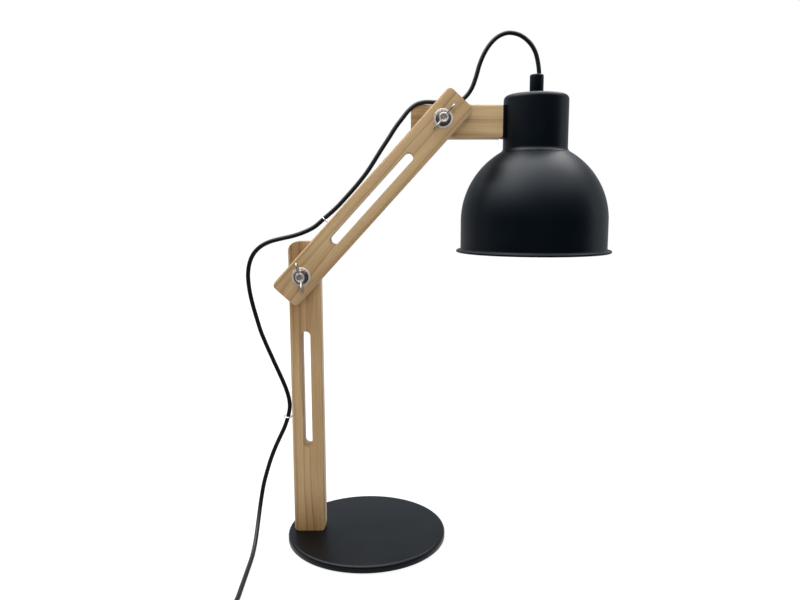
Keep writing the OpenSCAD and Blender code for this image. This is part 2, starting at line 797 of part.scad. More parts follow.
// The coil winds in on the table, climbs in the half turn at its inside and winds
// out on top: u counts turns from the middle of the climb
function coil_point(u) =
  let (
    r = coil_in_r + coil_pitch * max(0, abs(u) - 1 / 4),
    a = -90 + 360 * (u + coil_turns / 2),
    climb = (1 - cos(360 * min(max(u + 1 / 4, 0), 1 / 2))) / 2
  )
  [coil_pos.x + r * cos(a), coil_pos.y + r * sin(a), coil_z + coil_layer * climb];
function run_out(x) =
  let (t = min(max((x - coil_run_out) / coil_descent, 0), 1), top = coil_z + coil_layer)
  [coil_pos.x + x, plug_pos.y, top + (plug_z - top) * (1 - cos(180 * t)) / 2];
coil_rings = coil_turns * rings_per_turn;
run_out_l = coil_run_out + coil_descent;
coil_line = concat(
  [coil_start, coil_start + [cord_d, 0, 0]],
  [for (i = [0:coil_rings]) coil_point(i / rings_per_turn - coil_turns / 2)],
  [for (x = [6:8:run_out_l]) run_out(x)],
  [run_out(run_out_l + cord_d), run_out(run_out_l + sleeve_l)]
);

// Least gap between turns of the coil, measured from ring to ring
coil_apart = ceil(rings_per_turn * 3 / 4);
coil_gap = min([
  for (i = [0:len(coil_line) - 1])
    for (j = [i + coil_apart:1:len(coil_line) - 1])
      norm(coil_line[i] - coil_line[j])
]) - cord_d;
function line_l(line) = let (n = len(line) - 1)
  [for (i = [0:n - 1]) norm(line[i + 1] - line[i])] * [for (i = [0:n - 1]) 1];
echo(least_gap_in_coil = coil_gap);
echo(cord_lengths = [
  line_l(part_of(cord_line, 0, arm_eye_at)),
  line_l(part_of(cord_line, arm_eye_at, post_eye_at)),
  line_l(part_of(cord_line, post_eye_at, cord_end_at)),
  line_l(link_line), line_l(coil_line)
]);

// Directions along a line, and side vectors that turn as little as they can
function directions(line) = let (last = len(line) - 1) [
  for (i = [0:last]) unit(line[min(i + 1, last)] - line[max(i - 1, 0)])
];
function square_to(v, t) = unit(v - (v * t) * t);
function sides_of(dirs, first) = [
  for (i = 0, v = square_to(first, dirs[0]); i < len(dirs);
    i = i + 1, v = i < len(dirs) ? square_to(v, dirs[i]) : v) v
];
// A closed tube along the rings from one place of a line to another
module tube(line, from, to, n, first) {
  dirs = directions(line);
  side = sides_of(dirs, first);
  rings = to - from + 1;
  points = [
    for (i = [from:to])
      for (k = [0:n - 1])
        line[i] + cord_r * (cos(360 * k / n) * side[i]
          + sin(360 * k / n) * cross(dirs[i], side[i]))
  ];
  walls = [
    for (i = [0:rings - 2])
      for (k = [0:n - 1])
        let (a = i * n + k, b = i * n + (k + 1) % n)
          each [[a, a + n, b], [b, a + n, b + n]]
  ];
  start = [for (k = [1:n - 2]) [0, k, k + 1]];
  end = [for (k = [1:n - 2]) [0, k + 1, k] + (rings - 1) * n * [1, 1, 1]];
  polyhedron(points, concat(walls, start, end));
}
module head_cord() {
  color(black) tube(cord_line, 0, arm_eye_at, cord_sides, [0, 1, 0]);
}
module arm_cord() {
  color(black) tube(cord_line, arm_eye_at, post_eye_at, cord_sides, [0, 1, 0]);
}
module lead_cord() {
  color(black) tube(cord_line, post_eye_at, cord_end_at, cord_sides, [0, 1, 0]);
}
module link_cord() {
  color(black) tube(link_line, 0, len(link_line) - 1, cord_sides, [0, 0, 1]);
}
module cord_coil() {
  color(black) tube(coil_line, 0, len(coil_line) - 1, coil_sides, [0, 0, 1]);
}
// A flat band round the turns on the far side of the coil
module cord_tie() {
  gap = coil_z - cord_r - tie_t;
  sag = coil_in_r - sqrt(coil_in_r * coil_in_r - tie_w * tie_w / 4);
  low = [coil_in_r - cord_r - sag - gap, tie_t];
  high = [coil_out_r + cord_r + gap, coil_z + coil_layer + cord_r + gap];
  corner = 2;
  color([0.1, 0.1, 0.1]) translate([coil_pos.x, coil_pos.y, 0]) rotate([90, 0, 90])
    linear_extrude(tie_w, center = true) difference() {
      polygon(round_rect(low - [tie_t, tie_t], high + [tie_t, tie_t],
        corner + tie_t, corner + tie_t));
      polygon(round_rect(low, high, corner, corner));
    }
}

// Switch on the lead
module switch_outline(inset, low, high) {
  half = [switch_w / 2 - inset, switch_l / 2 - inset];
  translate([0, 0, low]) linear_extrude(high - low)
    polygon(round_rect(-half, half, switch_corner_r - inset, switch_corner_r - inset));
}
module switch_screw_place() {
  for (side = [-1, 1])
    translate([0, side * switch_screw_y, 0]) children();
}
module switch_base() {
  color(black) switch_frame() difference() {
    union() {
      difference() {
        switch_outline(0, 0, switch_split);
        switch_outline(switch_wall, switch_wall, switch_split + cut);
      }
      switch_screw_place() cylinder(d = boss_d, h = switch_split);
    }
    switch_screw_place() translate([0, 0, -cut]) {
      cylinder(d = switch_screw_head_d + 2 * seat_fit, h = switch_screw_head_h + seat_fit + cut);
      cylinder(d = switch_screw_d + 2 * seat_fit, h = switch_h);
    }
  }
}
module switch_cover() {
  window = [rocker_w / 2 + rocker_fit, rocker_r + rocker_fit];
  rib_x = rocker_w / 2 + rocker_fit;
  inside_top = switch_h - switch_wall;
  arch = round_rect([-switch_w / 2, -switch_h], [switch_w / 2, switch_h], switch_top_r, switch_top_r);
  color(black) switch_frame() difference() {
    union() {
      intersection() {
        difference() {
          switch_outline(0, switch_split, switch_h);
          switch_outline(switch_wall, switch_split - cut, inside_top);
        }
        rotate([90, 0, 0]) linear_extrude(switch_l + cut, center = true) polygon(arch);
      }
      switch_screw_place() translate([0, 0, switch_split])
        cylinder(d = boss_d, h = inside_top - switch_split);
      for (side = [-1, 1])
        translate([side * (rib_x + rocker_rib_t / 2), 0, rocker_z / 2 + inside_top / 2 - 1])
          cube([rocker_rib_t, 2 * rocker_axle_d + 1, inside_top - rocker_z + 2], center = true);
    }
    translate([-window.x, -window.y, inside_top - cut]) cube([2 * window.x, 2 * window.y, 2 * switch_wall]);
    translate([0, 0, rocker_z]) rotate([0, 90, 0])
      cylinder(d = rocker_axle_d + 2 * pin_fit, h = 2 * rib_x + 2 * rocker_rib_t, center = true);
    switch_screw_place() translate([0, 0, switch_split - cut])
      cylinder(d = switch_screw_d + 2 * pin_fit, h = inside_top - switch_split);
  }
}
module switch_rocker() {
  top_a = 37;
  low_a = -10;
  valley = 3.8;
  profile = concat(
    arc([0, 0], rocker_r, low_a, top_a),
    [[0, valley]],
    arc([0, 0], rocker_r, 180 - top_a, 180 - low_a)
  );
  color([0.16, 0.16, 0.17]) switch_frame() translate([0, 0, rocker_z])
    rotate([-rocker_travel / 2, 0, 0]) {
      rotate([90, 0, 90]) linear_extrude(rocker_w, center = true) polygon(profile);
      rotate([0, 90, 0]) cylinder(d = rocker_axle_d,
        h = rocker_w + 2 * rocker_fit + 1.5 * rocker_rib_t, center = true);
    }
}
module switch_screws() {
  color(steel) switch_frame() switch_screw_place() {
    translate([0, 0, seat_fit]) cylinder(d = switch_screw_head_d, h = switch_screw_head_h);
    translate([0, 0, seat_fit]) cylinder(d = switch_screw_d, h = switch_h - switch_wall - 2);
  }
}
// Tapered rubber sleeve along +Z with the cord's bore
module sleeve() {
  difference() {
    cylinder(d1 = sleeve_big_d, d2 = sleeve_small_d, h = sleeve_l);
    translate([0, 0, -cut]) cylinder(r = cord_r + cord_fit, h = sleeve_l + 2 * cut);
  }
}
module switch_sleeves() {
  color([0.1, 0.1, 0.1]) {
    translate(switch_in) rotate([-90, 0, 0]) sleeve();
    translate(switch_out) rotate([90, 0, 0]) sleeve();
  }
}

// Plug
module plug_body() {
  back_w = 11;
  shoulder = plug_l - 12;
  bevel = 1.5;
  top_view = [
    [0, -back_w / 2], [5, -back_w / 2 - 1], [shoulder, 1 - plug_w / 2], [shoulder + 4, -plug_w / 2],
    [plug_l, -plug_w / 2], [plug_l, plug_w / 2], [shoulder + 4, plug_w / 2],
    [shoulder, plug_w / 2 - 1], [5, back_w / 2 + 1], [0, back_w / 2]
  ];
  section = round_rect([-plug_w / 2, -plug_h / 2], [plug_w / 2, plug_h / 2], bevel, bevel);
  color(black) plug_frame() difference() {
    union() {
      intersection() {
        linear_extrude(plug_h, center = true) polygon(top_view);
        rotate([90, 0, 90]) linear_extrude(plug_l) polygon(section);
      }
      rotate([0, -90, 0]) sleeve();
    }
    for (side = [-1, 1])
      translate([plug_l - pin_seat - seat_fit, side * pin_gap / 2, 0]) rotate([0, 90, 0])
        cylinder(d = pin_d + 2 * pin_fit, h = pin_seat + cut);
  }
}
module plug_pins() {
  tip = 1.2;
  color(steel) plug_frame() for (side = [-1, 1])
    translate([plug_l - pin_seat, side * pin_gap / 2, 0]) rotate([0, 90, 0]) {
      cylinder(d = pin_d, h = pin_seat + pin_l - tip);
      translate([0, 0, pin_seat + pin_l - tip]) cylinder(d1 = pin_d, d2 = pin_d - 2 * tip, h = tip);
    }
}

base_plate();
base_pad();
base_screws();
post();
post_screw_eye();
lower_bolt();
lower_friction_washer();
upper_arm();
arm_screw_eye();
lower_washer();
lower_wing_nut();
upper_washer();
head_arm();
upper_bolt();
upper_friction_washer();
upper_wing_nut();
neck_saddle();
head_screws();
shade();
nipple();
nipple_nut();
cord_grip();
grip_screw();
holder_cap();
holder_body();
holder_shell();
holder_contact();
bulb_cap();
bulb_glass();
head_cord();
arm_cord();
lead_cord();
switch_base();
switch_cover();
switch_rocker();
switch_screws();
switch_sleeves();
link_cord();
cord_coil();
cord_tie();
plug_body();
plug_pins();
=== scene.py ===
# %% [markdown]
# # An articulated desk lamp
# The lamp is a pine post on a round black base, a slotted pine arm, a short head
# arm and a spun black shade. Its solids come from a construction model, and this
# script dresses them: it makes smooth meshes, cords and finishes in the same
# place and at the same size. The first cell loads the solids.

import json
import math

import bmesh
import bpy
from mathutils import Matrix, Vector


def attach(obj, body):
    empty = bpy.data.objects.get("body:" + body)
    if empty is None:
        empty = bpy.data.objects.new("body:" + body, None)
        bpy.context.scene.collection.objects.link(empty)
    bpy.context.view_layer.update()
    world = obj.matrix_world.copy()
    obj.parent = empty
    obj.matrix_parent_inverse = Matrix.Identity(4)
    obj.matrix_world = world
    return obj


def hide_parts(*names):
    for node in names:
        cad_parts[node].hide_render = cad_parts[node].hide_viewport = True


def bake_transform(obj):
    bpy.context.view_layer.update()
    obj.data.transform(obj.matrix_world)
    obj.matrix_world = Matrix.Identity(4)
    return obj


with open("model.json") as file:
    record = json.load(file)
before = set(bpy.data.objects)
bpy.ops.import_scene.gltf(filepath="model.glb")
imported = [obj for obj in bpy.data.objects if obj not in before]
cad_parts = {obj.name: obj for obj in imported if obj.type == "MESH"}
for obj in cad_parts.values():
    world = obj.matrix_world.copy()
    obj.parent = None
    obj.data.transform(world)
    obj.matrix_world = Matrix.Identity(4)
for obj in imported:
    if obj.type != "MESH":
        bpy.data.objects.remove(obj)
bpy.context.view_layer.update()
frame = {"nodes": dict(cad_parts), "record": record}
RECORD = frame["record"]
BODIES = RECORD["behaviour"]["bodies"]
BODY_OF = {node: body for body, nodes in BODIES.items() for node in nodes}
SLOT_OF = {row["node"]: row["material_slot"] for row in RECORD["subparts"]}
MM = 0.001

# %% [markdown]
# The camera comes first, because every later choice is judged through it. Its
# place was worked out from the base's ellipse, the straight planks and the shade's
# rim, which fix the height, the slight downward tilt and the lens together. A
# matrix built from the three view directions sets it.

# %% Camera
SENSOR_MM, FOCAL_MM = 36, 31.29
CAMERA_AT = Vector((39.33, -685.28, 338.44)) * MM
PITCH, YAW, ROLL = (math.radians(a) for a in (7.675, -0.329, -0.248))

flat = math.cos(PITCH)
forward = Vector((math.sin(YAW) * flat, math.cos(YAW) * flat, -math.sin(PITCH)))
level = Vector((math.cos(YAW), -math.sin(YAW), 0))
above = level.cross(forward)
right = level * math.cos(ROLL) + above * math.sin(ROLL)
up = above * math.cos(ROLL) - level * math.sin(ROLL)

lens = bpy.data.cameras.new("photo_lens")
lens.sensor_fit = "HORIZONTAL"
lens.sensor_width = SENSOR_MM
lens.lens = FOCAL_MM


def new_object(name, data):
    piece = bpy.data.objects.new(name, data)
    bpy.context.collection.objects.link(piece)
    return piece


camera = new_object("photo_camera", lens)
turn = Matrix((right, up, -forward)).transposed()
camera.matrix_world = Matrix.Translation(CAMERA_AT) @ turn.to_4x4()
bpy.context.scene.camera = camera
print("camera", [round(c, 4) for c in CAMERA_AT])

# %% [markdown]
# The lamp has three frames: the standing post, the arm that turns on the lower bolt
# and the head that turns on the upper bolt. Each is one matrix, so a shape can be
# drawn square in its own plank's space and then be carried to its place. The sizes
# repeat those of the construction model.

# %% Frames of the post, the arm and the head
QUARTER = math.radians(90)
POST_AT = Vector((-58.2, 2, 7.8)) * MM
ARM_ANGLE = math.radians(47.4)
HEAD_DROOP = math.radians(0.2)
LOWER_PIVOT = Vector((-58.2, 2, 272.3)) * MM
ARM_LENGTH = 198.5 * MM
ALONG_ARM = Vector((math.cos(ARM_ANGLE), 0, math.sin(ARM_ANGLE)))
UPPER_PIVOT = LOWER_PIVOT + ARM_LENGTH * ALONG_ARM
ARM_LEVEL = Vector((0, -20 * MM, 0))
SHADE_X = 90.7 * MM


def placed(at, turn_y):
    return Matrix.Translation(at) @ Matrix.Rotation(turn_y, 4, "Y")


POST_FRAME = placed(POST_AT, -QUARTER)
ARM_FRAME = placed(LOWER_PIVOT + ARM_LEVEL, -ARM_ANGLE)
HEAD_FRAME = placed(UPPER_PIVOT, HEAD_DROOP)
SHADE_FRAME = HEAD_FRAME @ Matrix.Translation((SHADE_X, 0, 0))
print("upper pivot at", [round(c, 4) for c in UPPER_PIVOT])

# %% [markdown]
# Materials are node trees, and most of a tree is wiring. A few short helpers keep
# the wiring readable: they add a node with its values, fill sockets, do sums on
# numbers and vectors, turn a number into a colour, and start a material or a group.


# %% Node helpers
def feed(tree, sockets, sources):
    """Fills sockets, by name or number, with a link or a plain value each."""
    for key, source in sources.items():
        if isinstance(source, bpy.types.NodeSocket):
            tree.links.new(source, sockets[key])
        elif source is not None:
            sockets[key].default_value = source


def add_node(tree, kind, sources=None, output=0, **settings):
    """Adds a node with its sources and settings, and hands back one of its outputs."""
    node = tree.nodes.new(kind)
    for name, value in settings.items():
        setattr(node, name, value)
    feed(tree, node.inputs, sources or {})
    return node.outputs[output]


def math_node(tree, operation, a, b=None):
    return add_node(tree, "ShaderNodeMath", {0: a, 1: b}, operation=operation)


def plus(tree, a, b):
    return math_node(tree, "ADD", a, b)


def times(tree, a, b):
    return math_node(tree, "MULTIPLY", a, b)


def vector_node(tree, operation, sources, output="Vector"):
    return add_node(tree, "ShaderNodeVectorMath", sources, output, operation=operation)


def axes(tree, vector):
    node = tree.nodes.new("ShaderNodeSeparateXYZ")
    feed(tree, node.inputs, {0: vector})
    return tuple(node.outputs)


def map_range(tree, value, low, high, start, end):
    """Goes from start to end while the value goes from low to high."""
    sources = {0: value, 1: low, 2: high, 3: start, 4: end}
    return add_node(tree, "ShaderNodeMapRange", sources)


def noise(tree, vector, stretch, detail=2.0, roughness=0.5):
    """Noise with its own scale along each axis."""
    place = vector_node(tree, "MULTIPLY", {0: vector, 1: stretch})
    sources = {"Vector": place, "Scale": 1.0, "Detail": detail, "Roughness": roughness}
    return add_node(tree, "ShaderNodeTexNoise", sources, "Fac")


def object_coords(tree):
    return add_node(tree, "ShaderNodeTexCoord", None, "Object")


def attribute(tree, name):
    return add_node(tree, "ShaderNodeAttribute", None, "Fac", attribute_name=name)


def rgba(value):
    """A colour, or a number as a grey, with full alpha."""
    return (*(value if isinstance(value, tuple) else (value,) * 3), 1)


def ramp(tree, factor, *stops):
    node = tree.nodes.new("ShaderNodeValToRGB")
    feed(tree, node.inputs, {"Fac": factor})
    elements = node.color_ramp.elements
    while len(elements) < len(stops):
        elements.new(0.5)
    for element, (place, color) in zip(elements, stops):
        element.position = place
        element.color = rgba(color)
    return node.outputs["Color"]


def wander(tree, mask, low, high):
    """Moves between two colours or two greys with a noise mask."""
    return ramp(tree, mask, (0.3, low), (0.7, high))


def new_finish(name, **values):
    """A material, its tree and the inputs of its Principled shader."""
    material = bpy.data.materials.new(name)
    material.use_nodes = True
    tree = material.node_tree
    shader = tree.nodes["Principled BSDF"].inputs
    feed(tree, shader, {key.replace("_", " "): value for key, value in values.items()})
    return material, tree, shader


def new_group(name, inputs, outputs):
    """A shader group with masks as outputs. An input is a vector unless it is a number."""
    tree = bpy.data.node_groups.new(name, "ShaderNodeTree")
    for label, value in inputs.items():
        kind = "NodeSocketFloat" if isinstance(value, float) else "NodeSocketVector"
        socket = tree.interface.new_socket(label, in_out="INPUT", socket_type=kind)
        if value is not None:
            socket.default_value = value
    for label in outputs:
        tree.interface.new_socket(label, in_out="OUTPUT", socket_type="NodeSocketFloat")
    given = tree.nodes.new("NodeGroupInput").outputs
    return tree, given, tree.nodes.new("NodeGroupOutput").inputs


def use_group(tree, group, vector, **values):
    node = tree.nodes.new("ShaderNodeGroup")
    node.node_tree = group
    feed(tree, node.inputs, {"Vector": vector, **values})
    return node.outputs


def cover(tree, shader, color, rough, height, strength, depth):
    """Gives a shader its colour and roughness, and a bump of some depth in metres."""
    bump = {"Height": height, "Strength": strength, "Distance": depth}
    normal = add_node(tree, "ShaderNodeBump", bump, "Normal")
    feed(tree, shader, {"Base Color": color, "Roughness": rough, "Normal": normal})


# %% [markdown]
# Pine shows growth rings: wide pale bands with narrow darker ones, nearly straight
# along a plank, and thin fibres between them. A solid pattern suits it better than
# a wrapped picture, because the end grain, the faces and the inside of the slot then
# belong to one piece of wood. The group reads a place in the plank's own space, with
# X along the grain, and measures the distance to a tree centre outside the plank.

# %% Pine grain group
SWAY = 0.009  # metres that a ring wanders from its circle
TAPER = 0.035  # how much the distance to the centre changes along the grain
FINE_RINGS = 3.3  # fine lines in each ring


def build_pine_grain():
    inputs = {"Vector": None, "Offset": (0, 0, 0), "Heart": (0, 0.03, -0.05), "Rings": 230.0}
    outputs = ("Ring", "Fibre", "Tone", "Height")
    tree, given, result = new_group("pine_grain", inputs, outputs)
    place = vector_node(tree, "ADD", {0: given["Vector"], 1: given["Offset"]})

    drift = times(tree, plus(tree, noise(tree, place, (5, 40, 40)), -0.5), SWAY)
    flattened = vector_node(tree, "MULTIPLY", {0: given["Vector"], 1: (TAPER, 1, 1)})
    across = vector_node(tree, "DISTANCE", {0: flattened, 1: given["Heart"]}, "Value")
    turns = times(tree, plus(tree, across, drift), given["Rings"])
    uneven = noise(tree, place, (2, 70, 70), 1)
    phase = math_node(tree, "FRACT", plus(tree, turns, uneven))
    band = ramp(tree, phase, (0, 0.05), (0.55, 0.3), (0.84, 1), (0.94, 0.15))
    fine = math_node(tree, "FRACT", times(tree, turns, FINE_RINGS))
    fine = ramp(tree, fine, (0, 0), (0.6, 0.3), (0.85, 1), (0.96, 0))
    ring = plus(tree, times(tree, fine, 0.3), band)

    long_fibre = noise(tree, place, (22, 1100, 1100), 3, 0.6)
    long_fibre = map_range(tree, long_fibre, 0.3, 0.7, 0.0, 0.85)
    short_pore = noise(tree, place, (60, 2300, 2300), 1)
    fibre = plus(tree, long_fibre, map_range(tree, short_pore, 0.6, 0.72, 0.0, 0.6))
    tone = noise(tree, place, (5, 26, 26))
    height = plus(tree, fibre, times(tree, ring, -0.4))
    feed(tree, result, {"Ring": ring, "Fibre": fibre, "Tone": tone, "Height": height})
    return tree


PINE_GRAIN = build_pine_grain()
print("group", PINE_GRAIN.name)

# %% [markdown]
# The three planks were cut from different boards, so each has its own offset and
# tree centre. A Mapping node of type TEXTURE undoes the plank's place and turn, and
# the grain then runs along each plank whatever way it points. Three masks follow the
# plank's shape and paint light into the colour: a painted highlight makes the rounded
# edges paler, and painted shade darkens the foot and the upper end, where neighbouring
# parts keep light off. A little sheen draws the pale line that a sanded edge shows
# against the light.

# %% Pine finish
PINE_PALE = (0.520, 0.378, 0.210)
PINE_DEEP = (0.240, 0.124, 0.042)
PINE_GLOSS = {"Specular_IOR_Level": 0.25, "Sheen_Weight": 0.32, "Sheen_Roughness": 0.3}
SHEEN_TINT = (1.0, 0.90, 0.78, 1.0)
RING_DARK, FIBRE_DARK, TONE_DARK, MEAN_DARK = 0.4, 0.2, 0.9, 0.285
# The edge span is a painted highlight on the rounded edges; the foot and top spans take
# painted shade.
EDGE_HIGHLIGHT_FROM, EDGE_HIGHLIGHT_TO, EDGE_HIGHLIGHT = 13.2 * MM, 15.6 * MM, 0.16
FOOT_SHADE_END = 45 * MM
TOP_SHADE_FROM, TOP_SHADE_TO = 165 * MM, 215 * MM


def pine(name, plank, offset, heart, rings, foot, top=0.0, deep=PINE_DEEP, pale=PINE_PALE):
    """foot and top are how much painted shade darkens the plank's first and last part."""
    material, tree, shader = new_finish(name, Sheen_Tint=SHEEN_TINT, **PINE_GLOSS)
    placing = {
        "Vector": object_coords(tree),
        "Location": plank.to_translation(),
        "Rotation": plank.to_euler(),
    }
    place = add_node(tree, "ShaderNodeMapping", placing, vector_type="TEXTURE")
    grain = use_group(tree, PINE_GRAIN, place, Offset=offset, Heart=heart, Rings=rings)
    along, _, across = axes(tree, place)
    from_middle = math_node(tree, "ABSOLUTE", across)
    dark = times(tree, grain["Ring"], RING_DARK)
    for mask in (
        times(tree, grain["Fibre"], FIBRE_DARK),
        times(tree, grain["Tone"], TONE_DARK),
        # painted highlight on the edges, then painted shade at the upper end and the foot
        map_range(tree, from_middle, EDGE_HIGHLIGHT_FROM, EDGE_HIGHLIGHT_TO, 0.0, -EDGE_HIGHLIGHT),
        map_range(tree, along, TOP_SHADE_FROM, TOP_SHADE_TO, 0.0, top),
        map_range(tree, along, 0.0, FOOT_SHADE_END, foot, 0.0),
    ):
        dark = plus(tree, dark, mask)
    color = ramp(tree, plus(tree, dark, -MEAN_DARK), (0, pale), (1, deep))
    rough = plus(tree, times(tree, grain["Fibre"], 0.2), 0.42)
    cover(tree, shader, color, rough, grain["Height"], 0.25, 0.2 * MM)
    return material


# The post's deep and pale colours are darker and more orange than the other planks': painted
# shade for the dim, warm light it gets under the arm.
PINE_POST = pine(
    "pine_post", POST_FRAME, (0.1, 0.2, 0), (0, 0.04, -0.035), 210, 0.3, 0.23,
    deep=(0.225, 0.108, 0.034), pale=(0.50, 0.355, 0.190),
)
PINE_ARM = pine("pine_arm", ARM_FRAME, (0.7, 0, 0.3), (0, 0.05, 0.04), 190, 0.12, 0.12)
PINE_HEAD = pine(
    "pine_head", HEAD_FRAME, (2.3, 0.4, 0.2), (0, 0.075, -0.04), 170, 0.32,
    pale=(0.560, 0.412, 0.230),
)
print("pine on", PINE_POST.name, PINE_ARM.name, PINE_HEAD.name)

# %% [markdown]
# Powder-like paint and moulded plastic share one trait: a skin that is not quite
# flat. Sprayed paint dries with a soft orange-peel ripple, and a mould leaves a
# finer matt grain. One group makes that skin at any scale, with a slow mask that
# lets the gloss wander a little. The base has a coat of its own, a little glossier
# than the shade's, and its colour is darker and less blue: painted shade, to offset
# the stronger light that falls on its top.


# %% Skin group for paint and plastic
def build_skin():
    inputs = {"Vector": None, "Grain": 900.0, "Cloud": 25.0}
    tree, given, result = new_group("painted_skin", inputs, ("Height", "Mask"))
    for scale, detail, target in (("Grain", 2, "Height"), ("Cloud", 3, "Mask")):
        sources = {"Vector": given["Vector"], "Scale": given[scale], "Detail": detail}
        feed(tree, result, {target: add_node(tree, "ShaderNodeTexNoise", sources, "Fac")})
    return tree


SKIN = build_skin()


def skin_finish(name, low, high, rough, grain, strength, **values):
    """low and high are the colours and rough the roughnesses between which it wanders."""
    material, tree, shader = new_finish(name, **values)
    skin = use_group(tree, SKIN, object_coords(tree), Grain=grain)
    color = wander(tree, skin["Mask"], low, high)
    spread = wander(tree, skin["Mask"], *rough)
    cover(tree, shader, color, spread, skin["Height"], strength, 0.1 * MM)
    return material


PAINT_GRAIN, PAINT_PEEL, MOULD_GRAIN = 1100, 0.06, 2600


def paint(name, low, high, rough):
    gloss = {"Specular_IOR_Level": 0.16, "Specular_Tint": (0.92, 0.95, 1.0, 1.0)}
    return skin_finish(name, low, high, rough, PAINT_GRAIN, PAINT_PEEL, **gloss)


BLACK_PAINT = paint(
    "black_paint", (0.0004, 0.0019, 0.0041), (0.0007, 0.0025, 0.0049), (0.38, 0.43)
)
# painted shade: the same black, darker and less blue, for the brightly lit top of the base
BASE_PAINT_SHADED = paint(
    "base_paint_shaded", (0.0004, 0.0013, 0.0024), (0.0007, 0.0018, 0.0031), (0.31, 0.35)
)
MOULDED = (0.006, 0.0066, 0.0072), (0.009, 0.0097, 0.0104)
BLACK_PLASTIC = skin_finish("black_plastic", *MOULDED, (0.42, 0.55), MOULD_GRAIN, 0.18)
POLISHED = (0.011, 0.011, 0.012), (0.014, 0.014, 0.015)
ROCKER_PLASTIC = skin_finish("rocker_plastic", *POLISHED, (0.22, 0.3), MOULD_GRAIN, 0.05)
FOOT_PAD = skin_finish("foot_pad", 0.012, 0.022, (0.85, 0.95), 1500, 0.5)
FRICTION_FIBRE = skin_finish(
    "friction_fibre", (0.020, 0.018, 0.016), (0.032, 0.029, 0.026), (0.7, 0.85), 2200, 0.4
)
print("skins", BLACK_PAINT.name, BASE_PAINT_SHADED.name, BLACK_PLASTIC.name, FOOT_PAD.name)

# %% [markdown]
# Bright plated steel and brass are metals whose gloss is broken by fine handling
# marks. A group makes two masks from stretched noise, hairlines and smudges, and
# each metal mixes them into its roughness. The nuts, bolts and washers have steels
# of their own, because a casting, a turned bolt and a stamped ring shine differently.
# The nut and bolt steels also carry a dark colour for painted shade in their hollows.


# %% Metal finishes
def build_metal_marks():
    tree, given, result = new_group("metal_marks", {"Vector": None}, ("Hairlines", "Smudge"))
    hairlines = noise(tree, given["Vector"], (300, 300, 2600), 3, 0.7)
    smudge = noise(tree, given["Vector"], (120, 120, 120), 3)
    feed(tree, result, {"Hairlines": hairlines, "Smudge": smudge})
    return tree


METAL_MARKS = build_metal_marks()


def metal(name, color, shadow, rough, metallic=1.0, hollow=None):
    """The last argument is the colour of painted shade, where the mesh's attribute of that
    name is 1.
    """
    material, tree, shader = new_finish(name, Metallic=metallic)
    marks = use_group(tree, METAL_MARKS, object_coords(tree))
    if hollow:
        # painted shade: the marked hollows go towards the dark colour
        unshaded = math_node(tree, "SUBTRACT", 1.0, attribute(tree, "hollow"))
        smudge_and_shade = times(tree, unshaded, plus(tree, marks["Smudge"], 0.4))
        tone = ramp(tree, smudge_and_shade, (0.05, hollow), (0.62, shadow), (0.95, color))
    else:
        tone = ramp(tree, marks["Smudge"], (0.25, shadow), (0.6, color))
    both = times(tree, marks["Hairlines"], marks["Smudge"])
    spread = ramp(tree, both, (0.1, rough[0]), (0.45, rough[1]))
    cover(tree, shader, tone, spread, marks["Hairlines"], 0.02, 0.03 * MM)
    return material


STEEL = metal("plated_steel", (0.80, 0.78, 0.75), (0.66, 0.64, 0.61), (0.15, 0.3), 0.72)
# the colour of painted shade in the hollows of nuts and bolts
HOLLOW_SHADE_STEEL = (0.045, 0.038, 0.038)
BOLT_STEEL = metal(
    "bolt_steel", (0.76, 0.70, 0.65), (0.60, 0.55, 0.51), (0.15, 0.3), 0.8, HOLLOW_SHADE_STEEL
)
NUT_STEEL = metal(
    "cast_nut_steel", (0.78, 0.72, 0.675), (0.46, 0.415, 0.385), (0.3, 0.46), 0.6, HOLLOW_SHADE_STEEL
)
WASHER_STEEL = metal(
    "washer_steel", (0.86, 0.795, 0.74), (0.68, 0.625, 0.58), (0.22, 0.42), 0.5
)
BRASS = metal("turned_brass", (0.72, 0.50, 0.20), (0.55, 0.36, 0.13), (0.2, 0.4))
BULB_METAL = metal("bulb_cap_metal", (0.62, 0.62, 0.63), (0.5, 0.5, 0.51), (0.2, 0.4))


def frosted_glass():
    material, tree, shader = new_finish("frosted_glass", Transmission_Weight=0.35, IOR=1.45)
    frost = use_group(tree, SKIN, object_coords(tree))
    color = wander(tree, frost["Mask"], (0.78, 0.78, 0.75), (0.84, 0.84, 0.82))
    rough = wander(tree, frost["Height"], 0.3, 0.42)
    feed(tree, shader, {"Base Color": color, "Roughness": rough})
    return material


GLASS = frosted_glass()
print("metals and glass", STEEL.name, BRASS.name, BULB_METAL.name, GLASS.name)

# %% [markdown]
# The cord's sheath is soft black plastic, drawn through a die, so its faint marks
# run along it. A pattern in space would swim over the bends. The tube carries two
# attributes of its own instead: how far along it a point is, and how far round.


# %% Cord and tie finishes
def cord_sheath():
    material, tree, shader = new_finish("cord_sheath", Specular_IOR_Level=0.28)
    angle = times(tree, attribute(tree, "around"), 2 * math.pi)
    sheath_axes = {
        "X": attribute(tree, "along"),
        "Y": math_node(tree, "SINE", angle),
        "Z": math_node(tree, "COSINE", angle),
    }
    on_sheath = add_node(tree, "ShaderNodeCombineXYZ", sheath_axes)
    drawn = noise(tree, on_sheath, (30, 5, 5), 4, 0.65)
    color = wander(tree, drawn, (0.0016, 0.0030, 0.0046), (0.0036, 0.0054, 0.0074))
    cover(tree, shader, color, wander(tree, drawn, 0.38, 0.52), drawn, 0.12, 0.1 * MM)
    return material


